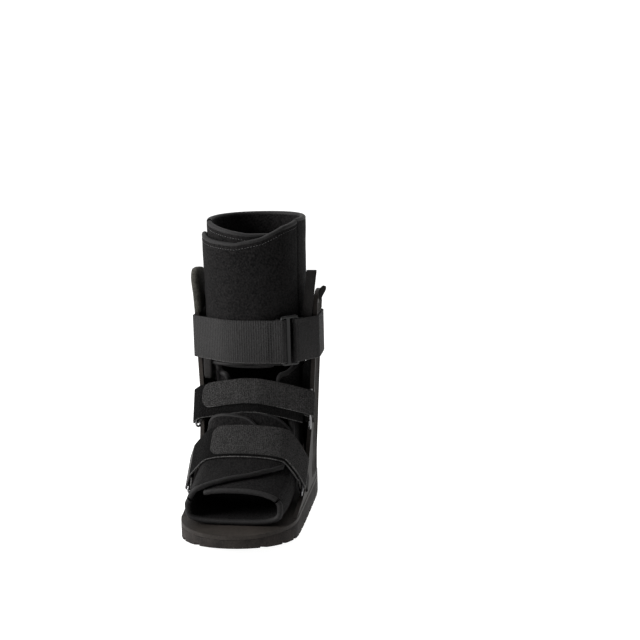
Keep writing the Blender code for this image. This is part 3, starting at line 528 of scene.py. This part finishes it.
for s in body_stations:
    limit = read_table(BODY_EDGE, s)
    body_columns.append([(liner_point(s, d), liner_normal(s, d)) for d in spread(-limit, limit, 25, 0.006)])
padded_piece("fleece_liner_body", body_columns, LINER_THICKNESS, fleece, "liner_body")


# Flaps: the calf is closed by a flap from the left with one from the right over it, and the forefoot by one
# from the right with one from the left over it. Each is sewn to the liner's body along its side.
LAYER_RISE = FLAP_THICKNESS + 0.0008
CALF_FLAP_BOTTOM = 0.163
UNDER_TOP = ((-248.0, COLLAR_TOP * 0.958), (-180.0, COLLAR_TOP * 0.962), (-112.0, COLLAR_TOP * 0.998))
OVER_TOP = (
    (112.0, COLLAR_TOP * 0.998),
    (140.0, COLLAR_TOP * 0.985),
    (165.0, COLLAR_TOP * 0.950),
    (190.0, COLLAR_TOP * 0.932),
    (215.0, COLLAR_TOP * 0.938),
    (262.0, COLLAR_TOP * 0.955),
)
OVER_BOTTOM = (
    (112.0, CALF_FLAP_BOTTOM),
    (180.0, CALF_FLAP_BOTTOM + 0.005),
    (262.0, CALF_FLAP_BOTTOM - 0.002),
)
FOOT_OVER_UPPER = ((112.0, 11.2), (178.0, 12.0), (200.0, 13.0), (226.0, 14.2))
FOOT_OVER_FRONT = (
    (112.0, TOE_SECTION),
    (140.0, TOE_SECTION - 0.05),
    (165.0, 16.5),
    (196.0, 15.6),
    (226.0, 14.4),
)
LIFT_START = 114.0  # an upper flap starts to rise this far round from the liner's back, in degrees


class Flap:
    """One flap: the angles it spans, its two edges as sections by angle, and its lift off the liner."""

    def __init__(self, name, node, angles, edges, lift):
        self.name, self.node, self.angles, self.edges, self.lift = name, node, angles, edges, lift

    def at(self, s, degrees, depth=0.0):
        return liner_point(s, degrees) + liner_normal(s, degrees) * (self.lift(degrees) - depth)

    def build(self):
        columns = []
        first, last, count = self.angles
        for degrees in spread(first, last, count, 0.008):
            start, end = self.edges(degrees)
            column = [(self.at(s, degrees), liner_normal(s, degrees)) for s in spread(start, end, 13, 0.012)]
            columns.append(column)
        return padded_piece(self.name, columns, FLAP_THICKNESS, fleece, self.node)


def on_liner(degrees):
    return 0.0


def lifted(degrees, rise_within):
    """An upper flap's lift: it climbs the thickness of the flap below within so many degrees."""
    return LAYER_RISE * min(1.0, max(0.0, (abs(degrees) - LIFT_START) / rise_within))


calf_under = Flap(
    "calf_flap_inside",
    "calf_flap_under",
    (-114.4, -205.0, 14),
    lambda d: (section_for_height(read_table(UNDER_TOP, d)), section_for_height(CALF_FLAP_BOTTOM)),
    on_liner,
)
calf_over = Flap(
    "calf_flap_outside",
    "calf_flap_over",
    (114.4, 262.0, 24),
    lambda d: (section_for_height(read_table(OVER_TOP, d)), section_for_height(read_table(OVER_BOTTOM, d))),
    lambda d: lifted(d, 26.0),
)
foot_under = Flap(
    "foot_flap_inside",
    "foot_flap_under",
    (118.0, 212.0, 14),
    lambda d: (INSTEP_SECTION + 0.7, TOE_SECTION),
    on_liner,
)
foot_over = Flap(
    "foot_flap_outside",
    "foot_flap_over",
    (-118.0, -226.0, 16),
    lambda d: (read_table(FOOT_OVER_UPPER, -d), read_table(FOOT_OVER_FRONT, -d)),
    lambda d: lifted(d, 22.0),
)
for flap in (calf_under, calf_over, foot_under, foot_over):
    flap.build()


# Bindings: every free edge of the liner is bound with a folded tape of smooth dark knit, sewn near its edge.
# The sewing shows as a row of short stitches just inside the tape, and cords of fleece fill the seams.
binding_knit = patterned(
    "binding_knit",
    GRAIN,
    {"Scale": 700, "Slow": 60, "Share": 0.3},
    low=(0.0035, 0.0033, 0.0035),
    high=(0.013, 0.0122, 0.0122),
    bump=0.0003,
    roughness=0.7,
    specular=0.18,
)
thread = patterned(
    "grey_thread",
    GRAIN,
    {"Scale": 2500, "Slow": 200, "Share": 0.3},
    low=(0.05, 0.05, 0.05),
    high=(0.12, 0.12, 0.12),
    bump=0.00005,
    roughness=0.7,
    specular=0.2,
)
FLAP_TAPE, BODY_TAPE = 0.0027, 0.0030  # the bindings' radii


def eased(path, passes=6):
    """The path with its corners drawn round, and its ends kept."""
    for _ in range(passes):
        inner = [(a + b * 2 + c) / 4 for a, b, c in zip(path, path[1:], path[2:])]
        path = [path[0]] + inner + [path[-1]]
    return path


def binding(name, path, radius, material=binding_knit):
    """A round-backed tape along the edge."""
    curve = bpy.data.curves.new(name, "CURVE")
    curve.dimensions = "3D"
    curve.bevel_depth = radius
    curve.bevel_resolution = 4
    curve.use_fill_caps = True
    spline = curve.splines.new("POLY")
    spline.points.add(len(path) - 1)
    for point, spot in zip(spline.points, path):
        point.co = (*spot, 1.0)
    guide = bpy.data.objects.new(name + "_guide", curve)
    bpy.context.scene.collection.objects.link(guide)
    graph = bpy.context.evaluated_depsgraph_get()
    mesh = bpy.data.meshes.new_from_object(guide.evaluated_get(graph))
    bpy.data.objects.remove(guide, do_unlink=True)
    shape = bmesh.new()
    shape.from_mesh(mesh)
    bmesh.ops.remove_doubles(shape, verts=shape.verts, dist=0.00001)
    bmesh.ops.recalc_face_normals(shape, faces=shape.faces)
    shade_smooth(shape, 60.0)
    return new_piece(name, shape, material)


STITCH_LIFT = 0.0002


def stitches(name, line, material, pitch=0.0032, length=0.0021, width=0.00045):
    """Short stitches along (point, normal) pairs."""
    shape = bmesh.new()
    travelled, target = 0.0, pitch / 2
    for (a, na), (b, nb) in zip(line, line[1:]):
        step = (b - a).length
        while step > 0 and travelled + step >= target:
            t = (target - travelled) / step
            spot, normal = a.lerp(b, t), na.lerp(nb, t).normalized()
            along = (b - a).normalized()
            across = normal.cross(along).normalized()
            matrix = Matrix((along, across, normal)).transposed().to_4x4()
            matrix.translation = spot + normal * STITCH_LIFT
            size = Matrix.Diagonal((length / 2, width / 2, width / 2, 1.0))
            bmesh.ops.create_uvsphere(shape, u_segments=6, v_segments=4, radius=1.0, matrix=matrix @ size)
            target += pitch
        travelled += step
    all_smooth(shape)
    return new_piece(name, shape, material)


def edge_line(flap, angles, which, inset=0.0, depth=FLAP_THICKNESS / 2):
    """(point, normal) pairs along a flap's first or second edge, moved in from it by so many sections."""
    line = []
    for degrees in angles:
        start, end = flap.edges(degrees)
        s = start + inset if which == "first" else end - inset
        line.append((flap.at(s, degrees, depth), liner_normal(s, degrees)))
    return line


def side_line(flap, degrees, steps=20):
    """(point, normal) pairs down a flap's free side."""
    start, end = flap.edges(degrees)
    stations = spread(start, end, steps)
    return [(flap.at(s, degrees, FLAP_THICKNESS / 2), liner_normal(s, degrees)) for s in stations]


def points_of(line):
    return [point for point, normal in line]


def bind_flap(flap, count, side_too=True):
    """Binds the flap's two edges, and the free side between them, in one run. The angles are given back."""
    first, last, _ = flap.angles
    angles = spread(first, last, count)
    far_edge = edge_line(flap, angles[::-1], "second")
    if side_too:
        far_edge = side_line(flap, last)[1:] + far_edge[1:]
    binding(flap.name + "_binding", points_of(edge_line(flap, angles, "first") + far_edge), FLAP_TAPE)
    return angles


over_angles = bind_flap(calf_over, 60)
under_angles = bind_flap(calf_under, 40)
foot_over_angles = bind_flap(foot_over, 50, side_too=False)
foot_under_angles = bind_flap(foot_under, 40)


def body_point(s, degrees, depth=LINER_THICKNESS / 2):
    """(point, normal) on the liner's body, so deep below its outer face."""
    normal = liner_normal(s, degrees)
    return liner_point(s, degrees) - normal * depth, normal


collar = [body_point(0.0, d) for d in spread(-SIDE, SIDE, 60)]
binding("collar_binding", points_of(collar), BODY_TAPE)
toe_edge = [body_point(TOE_SECTION, d) for d in spread(-SIDE, SIDE, 80)]
binding("toe_binding", points_of(toe_edge), BODY_TAPE)
CALF_SEAM, FOOT_SEAM = 113.2, 115.0  # degrees round from the back or the bottom
for side, sign in (("left", -1), ("right", 1)):
    ankle = [body_point(s, sign * read_table(BODY_EDGE, s)) for s in spread(3.75, 11.6, 60)]
    binding(f"ankle_binding_{side}", eased(points_of(ankle)), BODY_TAPE)
    calf_seam = [body_point(s, sign * CALF_SEAM, 0.0012) for s in spread(0.04, 3.7, 30)]
    binding(f"calf_seam_{side}", points_of(calf_seam), 0.0016, fleece)
    foot_seam = [body_point(s, sign * FOOT_SEAM, 0.0020) for s in spread(11.75, TOE_SECTION - 0.02, 40)]
    binding(f"foot_seam_{side}", points_of(foot_seam), 0.0030, fleece)

CALF_INSET, FOOT_INSET = 0.10, 0.22  # how far in from the edge the stitches run, in sections
for name, flap, angles, which, inset, material in (
    ("calf_flap_stitches", calf_over, over_angles, "first", CALF_INSET, thread),
    ("calf_flap_inside_stitches", calf_under, under_angles, "first", CALF_INSET, thread),
    ("foot_flap_stitches", foot_over, foot_over_angles[2:], "second", FOOT_INSET, binding_knit),
    ("foot_flap_inside_stitches", foot_under, foot_under_angles, "second", FOOT_INSET, binding_knit),
):
    stitches(name, edge_line(flap, angles, which, inset, depth=0.0), material)


# Straps: the calf strap is ribbed webbing, the ankle and instep straps black loop pile with grey hook tabs.
# Each is folded round its ring or the buckle and sewn down, so the cloth's pattern runs along the strap.
def rib_group():
    """Ribs along and across the strap, by its own UV map in metres, roughened by noise."""
    group, given, out = pattern_group("ribs", ("Along", "Across", "Fuzz"))
    cloth = group.nodes.new("ShaderNodeUVMap")
    cloth.uv_map = "cloth"
    split = group.nodes.new("ShaderNodeSeparateXYZ")
    group.links.new(cloth.outputs["UV"], split.inputs["Vector"])

    def combine(operation, *values):
        node = group.nodes.new("ShaderNodeMath")
        node.operation = operation
        for socket, value in zip(node.inputs, values):
            if isinstance(value, float):
                socket.default_value = value
            else:
                group.links.new(value, socket)
        return node.outputs[0]

    def wave(coordinate, frequency):
        return combine("SINE", combine("MULTIPLY", split.outputs[coordinate], given.outputs[frequency]))

    ribs = combine("ADD", combine("MULTIPLY", wave("X", "Along"), 0.35), 0.5)
    ribs = combine("ADD", ribs, combine("MULTIPLY", wave("Y", "Across"), 0.15))
    tufts = stretched(group, noise_of(group, detail=3.0, scale=720.0).outputs["Fac"])
    height = mixed(group, given.outputs["Fuzz"], ribs, tufts)
    slow = noise_of(group, scale=45.0).outputs["Fac"]
    shade = combine("ADD", combine("MULTIPLY", height, 0.75), combine("MULTIPLY", slow, 0.3))
    colour = mixed(group, shade, given.outputs["Low"], given.outputs["High"], "RGBA")
    group.links.new(colour, out.inputs["Color"])
    group.links.new(height, out.inputs["Height"])
    return group


RIBS = rib_group()
FULL_TURN = 2 * math.pi
ribbed_webbing = patterned(
    "ribbed_webbing",
    RIBS,
    {"Along": FULL_TURN / 0.0026, "Across": FULL_TURN / 0.0011, "Fuzz": 0.45},
    low=(0.0015, 0.0013, 0.0013),
    high=(0.027, 0.026, 0.026),
    bump=0.0008,
    roughness=0.8,
    specular=0.2,
)
loop_pile = patterned(
    "black_loop_pile",
    RIBS,
    {"Along": FULL_TURN / 0.002, "Across": FULL_TURN / 0.002, "Fuzz": 0.9},
    low=(0.0004, 0.0004, 0.0004),
    high=(0.0062, 0.006, 0.006),
    bump=0.0012,
    roughness=0.95,
    specular=0.08,
)
grey_pile = patterned(
    "grey_brushed_pile",
    RIBS,
    {"Along": FULL_TURN / 0.0022, "Across": FULL_TURN / 0.0022, "Fuzz": 0.75},
    low=(0.0008, 0.0008, 0.0008),
    high=(0.046, 0.0445, 0.044),
    bump=0.0014,
    roughness=0.9,
    specular=0.12,
)
# Painted highlight: each strap's lower edge gets this pale colour, which stands for light thrown up by the
# bright floor below and is not the cloth's own colour.
floor_lit_edge = patterned(
    "pale_cut_edge",
    GRAIN,
    {"Scale": 700, "Slow": 60, "Share": 0.3},
    low=(0.02, 0.02, 0.02),
    high=(0.12, 0.117, 0.115),
    bump=0.0001,
    roughness=0.9,
    specular=0.1,
)


def strap_frame(y, z, tilt):
    """X across the boot, Y to the front and Z down along the strap's width."""
    a = math.radians(tilt)
    matrix = Matrix.Identity(4)
    for row in range(3):
        matrix[row][1] = (0.0, -math.cos(a), math.sin(a))[row]
        matrix[row][2] = (0.0, -math.sin(a), -math.cos(a))[row]
    matrix.translation = Vector((0, y, z))
    return matrix


def rounded(node, width, segments=2):
    """The node's solid with its edges rounded to this width."""
    shape = merged_solid(node)
    bmesh.ops.bevel(
        shape,
        geom=sharp_edges(shape, 50.0),
        offset=width,
        segments=segments,
        profile=0.5,
        affect="EDGES",
        clamp_overlap=True,
        material=-1,
    )
    shade_smooth(shape, 50.0)
    return shape


RAIL_STEP = 0.06  # between the angles at which a strap's outermost points are taken, in radians
LIT_EDGE_DEPTH = 0.0004


def strap_piece(name, node, material, lies_in, centre, flat):
    """The strap's solid with softened edges, and a UV map that runs along the strap round the centre."""
    shape = rounded(node, 0.0005)
    inverse = lies_in.inverted()
    outermost = {}
    for vert in shape.verts:
        spot = inverse @ vert.co
        angle = math.atan2(spot.y - centre, spot.x)
        reach = math.hypot(spot.y - centre, spot.x)
        step = round(angle / RAIL_STEP)
        if reach > outermost.get(step, (0.0,))[0]:
            outermost[step] = (reach, angle, spot.x, spot.y)
    rail = [outermost[step][1:] for step in sorted(outermost)]
    lengths = [0.0]
    for (_, x0, y0), (_, x1, y1) in zip(rail, rail[1:]):
        lengths.append(lengths[-1] + math.hypot(x1 - x0, y1 - y0))
    table = [(point[0], length) for point, length in zip(rail, lengths)]
    cloth = shape.loops.layers.uv.new("cloth")
    for face in shape.faces:
        for loop in face.loops:
            spot = inverse @ loop.vert.co
            angle = math.atan2(spot.y - centre, spot.x)
            loop[cloth].uv = (read_table(table, angle), spot.z)
    # The faces along the strap's lower edge take the pale material, a painted highlight of the floor's light.
    lower_edge = flat[0] / 2 - LIT_EDGE_DEPTH
    for face in shape.faces:
        if (inverse @ face.calc_center_median()).z > lower_edge:
            face.material_index = 1
    piece = new_piece(name, shape, material, node)
    piece.data.materials.append(floor_lit_edge)
    return piece


TOP_FRAME = strap_frame(y=0.0, z=0.191, tilt=0.0)
MIDDLE_FRAME = strap_frame(y=-0.0590, z=0.1366, tilt=20.5)
LOWER_FRAME = strap_frame(y=-0.0870, z=0.0910, tilt=47.8)
strap_piece(
    "calf_strap",
    "top_strap",
    ribbed_webbing,
    lies_in=TOP_FRAME,
    centre=0.0,
    flat=(0.046, 0.435),
)
strap_piece(
    "ankle_strap",
    "middle_strap",
    loop_pile,
    lies_in=MIDDLE_FRAME,
    centre=-0.03,
    flat=(0.036, 0.140),
)
strap_piece(
    "ankle_tab",
    "middle_strap_tab",
    grey_pile,
    lies_in=MIDDLE_FRAME,
    centre=-0.03,
    flat=(0.027, 0.139),
)
strap_piece(
    "instep_strap",
    "lower_strap",
    loop_pile,
    lies_in=LOWER_FRAME,
    centre=-0.03,
    flat=(0.038, 0.160),
)
strap_piece(
    "instep_tab",
    "lower_strap_tab",
    grey_pile,
    lies_in=LOWER_FRAME,
    centre=-0.03,
    flat=(0.035, 0.136),
)


# Stitching on the straps: a double row holds the calf strap's fold, and one row each tab's fold and edge.
# The rows lie on the cloth, so each stitch is set down on the strap from outside.
dark_thread = patterned(
    "dark_thread",
    GRAIN,
    {"Scale": 2500, "Slow": 200, "Share": 0.3},
    low=(0.001, 0.001, 0.001),
    high=(0.004, 0.004, 0.004),
    bump=0.00005,
    roughness=0.7,
    specular=0.2,
)
RAY_START, RAY_REACH, FACING = 0.06, 0.16, -0.2


def laid_on(piece_name, start, end, count, toward):
    """(point, normal) pairs on the piece under a straight row, seen from outside along toward."""
    graph = bpy.context.evaluated_depsgraph_get()
    target = bpy.data.objects[piece_name].evaluated_get(graph)
    line = []
    for i in range(count):
        spot = start.lerp(end, i / (count - 1))
        hit, where, normal, _ = target.ray_cast(spot - toward * RAY_START, toward, distance=RAY_REACH)
        if hit and normal.dot(toward) < FACING:
            line.append((where, normal))
    return line


def row_on(name, piece_name, lies_in, x, low, high):
    """A row across the strap at x, from low to high down its width, in the strap's frame."""
    toward = -(lies_in.to_3x3() @ Vector((0, 1, 0)))
    start, end = [lies_in @ Vector((x, 0.05, down)) for down in (low, high)]
    line = laid_on(piece_name, start, end, 30, toward)
    stitches(name, line, dark_thread, pitch=0.0026, length=0.0019, width=0.0010)


row_on("calf_strap_stitches_0", "calf_strap", TOP_FRAME, x=0.0215, low=-0.021, high=0.021)
row_on("calf_strap_stitches_1", "calf_strap", TOP_FRAME, x=0.0245, low=-0.021, high=0.021)
row_on("ankle_tab_stitches", "ankle_tab", MIDDLE_FRAME, x=0.038, low=-0.016, high=0.016)
row_on("instep_tab_stitches", "instep_tab", LOWER_FRAME, x=0.040, low=-0.012, high=0.030)


# Rings, chapes and buckle: bent steel wire rings held by short loops of webbing through the shell's slots,
# and a black moulded buckle with three bars on the calf strap.
steel = patterned(
    "steel_wire",
    GRAIN,
    {"Scale": 500, "Slow": 80, "Share": 0.5},
    low=(0.16, 0.16, 0.165),
    high=(0.32, 0.32, 0.325),
    bump=0.00002,
    roughness=0.32,
    metallic=1.0,
)
chape_webbing = patterned(
    "chape_webbing",
    GRAIN,
    {"Scale": 1200, "Slow": 60, "Share": 0.3},
    low=(0.003, 0.003, 0.003),
    high=(0.014, 0.013, 0.012),
    bump=0.0004,
    roughness=0.9,
    specular=0.15,
)
for strap in ("middle_strap", "lower_strap"):
    for side in ("left", "right"):
        ring = merged_solid(f"{strap}_{side}_ring")
        shade_smooth(ring, 80.0)
        new_piece(f"{strap}_{side}_wire", ring, steel, f"{strap}_{side}_ring")
        chape = rounded(f"{strap}_{side}_chape", 0.0003)
        new_piece(f"{strap}_{side}_loop", chape, chape_webbing, f"{strap}_{side}_chape")
black_plastic = patterned(
    "black_plastic",
    GRAIN,
    {"Scale": 800, "Slow": 60, "Share": 0.5},
    low=(0.002, 0.002, 0.002),
    high=(0.006, 0.006, 0.006),
    bump=0.00003,
    roughness=0.38,
    specular=0.35,
)
buckle = rounded("top_buckle", 0.0007, segments=3)
new_piece("calf_buckle", buckle, black_plastic, "top_buckle")


# Pull tab: a folded strip of webbing that stands before the right strut, held by the calf strap.
# It is open above the strap, so that a hand can pull the liner up by it.
pull_webbing = patterned(
    "pull_webbing",
    GRAIN,
    {"Scale": 1100, "Slow": 60, "Share": 0.3},
    low=(0.002, 0.0018, 0.0017),
    high=(0.011, 0.0098, 0.0094),
    bump=0.0005,
    roughness=0.85,
    specular=0.2,
)
new_piece("pull_loop", rounded("pull_tab", 0.0003), pull_webbing, "pull_tab")


# Strut trim: a pocket of olive-grey webbing over the left strut's top, and a pad of foam under pile inside
# each strut. A short tag is sewn at the right strut's shoulder, and at the left a webbing end hangs under the
# calf strap.
olive_webbing = patterned(
    "olive_webbing",
    GRAIN,
    {"Scale": 560, "Slow": 40, "Share": 0.2},
    low=(0.014, 0.0135, 0.0115),
    high=(0.046, 0.044, 0.038),
    bump=0.0006,
    roughness=0.9,
    specular=0.12,
)
pad_pile = patterned(
    "pad_pile",
    GRAIN,
    {"Scale": 1000, "Slow": 60, "Share": 0.2},
    low=(0.0015, 0.0015, 0.0015),
    high=(0.009, 0.009, 0.009),
    bump=0.0006,
    roughness=0.9,
    specular=0.12,
)
STRUT_WALL, STRUT_HALF, STRUT_ROUND = 0.0045, 0.019, 0.014


def strut_outline(half, low, high, radius, steps=8):
    """(y, z) round a strut's end, from its front edge over the top to its back edge."""
    outline = [(-half, low + (high - radius - low) * i / 6) for i in range(6)]
    outline += [
        (-half + radius - radius * math.cos(a), high - radius + radius * math.sin(a))
        for a in (math.pi / 2 * i / steps for i in range(steps + 1))
    ]
    return outline + [(-y, z) for y, z in outline[::-1]]


def thicken(piece, thickness, offset):
    """Gives a sheet its thickness: to both sides with offset 0, and outward with 1."""
    cloth = piece.modifiers.new("cloth", "SOLIDIFY")
    cloth.thickness = thickness
    cloth.offset = offset


SLEEVE_LOW, SLEEVE_HIGH, SLEEVE_ROOM = 0.2165, 0.262, 0.0006
SLEEVE_LAYERS = (  # how deep each loop of the pocket lies, and its share of the strut's outline
    (-SLEEVE_ROOM, 0.8),
    (-SLEEVE_ROOM, 1.0),
    (STRUT_WALL / 2, 1.025),
    (STRUT_WALL + SLEEVE_ROOM, 1.0),
    (STRUT_WALL + SLEEVE_ROOM, 0.8),
)
sleeve = bmesh.new()
outline = strut_outline(
    STRUT_HALF + SLEEVE_ROOM, SLEEVE_LOW, SLEEVE_HIGH + SLEEVE_ROOM, STRUT_ROUND + SLEEVE_ROOM
)
centre = Vector((0.0, (SLEEVE_LOW + SLEEVE_HIGH) / 2 - 0.004))
loops = []
for depth, share in SLEEVE_LAYERS:
    loop = []
    for y, z in outline:
        spot = centre + (Vector((y, z)) - centre) * share if share < 1 else Vector((y * share, z))
        loop.append(sleeve.verts.new(strut_face(-1, spot.x, max(spot.y, SLEEVE_LOW), -depth)))
    loops.append(loop)
for one, two in zip(loops, loops[1:]):
    for i in range(len(one) - 1):
        sleeve.faces.new((one[i], one[i + 1], two[i + 1], two[i]))
for loop in (loops[0], loops[-1]):
    for i in range(len(loop) // 2 - 1):
        sleeve.faces.new((loop[i], loop[i + 1], loop[-i - 2], loop[-i - 1]))
bmesh.ops.remove_doubles(sleeve, verts=sleeve.verts, dist=0.00001)
bmesh.ops.recalc_face_normals(sleeve, faces=sleeve.faces)
all_smooth(sleeve)
thicken(new_piece("strut_sleeve", sleeve, olive_webbing), 0.0009, offset=1.0)

LOW_PAD = (
    (0.055, 0.0509),
    (0.070, 0.0503),
    (0.084, 0.0497),
    (0.100, 0.0497),
    (0.127, 0.0503),
    (0.150, 0.0511),
)
PAD_REACH = {  # how far out each pad's inner face lies, by height
    -1: (*LOW_PAD, (0.159, 0.0516)),
    1: (*LOW_PAD, (0.158, 0.0516), (0.162, 0.0575), (0.200, 0.0590), (0.231, 0.0595)),
}
PAD_HALF_WIDTH, PAD_INNER_SHARE, PAD_ROOM = 0.0165, 0.88, 0.0002
for side, name in ((-1, "left"), (1, "right")):
    reach = PAD_REACH[side]
    pad = bmesh.new()
    rings = []
    for z in spread(reach[0][0], reach[-1][0], 25):
        places = spread(-PAD_HALF_WIDTH, PAD_HALF_WIDTH, 7)
        outer = [strut_face(side, y, z, -STRUT_WALL - PAD_ROOM) for y in places]
        inner = [Vector((side * read_table(reach, z), p.y * PAD_INNER_SHARE, z)) for p in outer]
        rings.append([pad.verts.new(p) for p in outer + inner[::-1]])
    for one, two in zip(rings, rings[1:]):
        for i in range(len(one)):
            pad.faces.new((one[i - 1], one[i], two[i], two[i - 1]))
    pad.faces.new(rings[0])
    pad.faces.new(rings[-1][::-1])
    bmesh.ops.recalc_face_normals(pad, faces=pad.faces)
    all_smooth(pad)
    piece = new_piece(f"strut_pad_{name}", pad, pad_pile)
    soften(piece, width=0.0010, segments=2, degrees=50)


def sheet_through(rows):
    """A sheet without thickness through rows of points."""
    shape = bmesh.new()
    grid = [[shape.verts.new(point) for point in row] for row in rows]
    for one, two in zip(grid, grid[1:]):
        for i in range(len(one) - 1):
            shape.faces.new((one[i], one[i + 1], two[i + 1], two[i]))
    bmesh.ops.recalc_face_normals(shape, faces=shape.faces)
    return shape


END_MIDDLE, END_WAY = Vector((-0.0502, -0.0312, 0.0)), Vector((0.93, -0.37, 0.0)).normalized()
end_rows = []
for z, back, half in (  # height, how far back, and half the width
    (0.1730, 0.0050, 0.0048),
    (0.1672, 0.0008, 0.0050),
    (0.1600, 0.0, 0.0050),
    (0.1530, 0.0004, 0.0050),
    (0.1480, 0.0010, 0.0048),
    (0.1458, 0.0014, 0.0036),
):
    middle = END_MIDDLE + Vector((0.0, back, z))
    end_rows.append([middle + END_WAY * (half * share) for share in (-1, -0.4, 0.4, 1)])
end_sheet = sheet_through(end_rows)
all_smooth(end_sheet)
thicken(new_piece("pull_tab_end_left", end_sheet, pull_webbing), 0.0018, offset=0.0)

TAG_FOOT, TAG_WAY = strut_face(1, -0.010, 0.229, 0.0010), Vector((0.80, 0.45, -0.40)).normalized()
tag_rows = []
for x, y, z, half in (  # x, y and z from the tag's foot, and half the width
    (0.0005, 0.0, 0.0, 0.0016),
    (0.0008, -0.001, 0.004, 0.0022),
    (0.0020, -0.001, 0.0085, 0.0036),
    (0.0042, -0.001, 0.0125, 0.0038),
    (0.0062, -0.001, 0.0160, 0.0022),
):
    middle = TAG_FOOT + Vector((x, y, z))
    tag_rows.append([middle + TAG_WAY * (side * half) for side in (-1, 0, 1)])
tag = new_piece("strut_tag", sheet_through(tag_rows), pull_webbing)
thicken(tag, 0.0022, offset=0.0)
tag_soft = tag.modifiers.new("soft", "SUBSURF")
tag_soft.levels = tag_soft.render_levels = 2
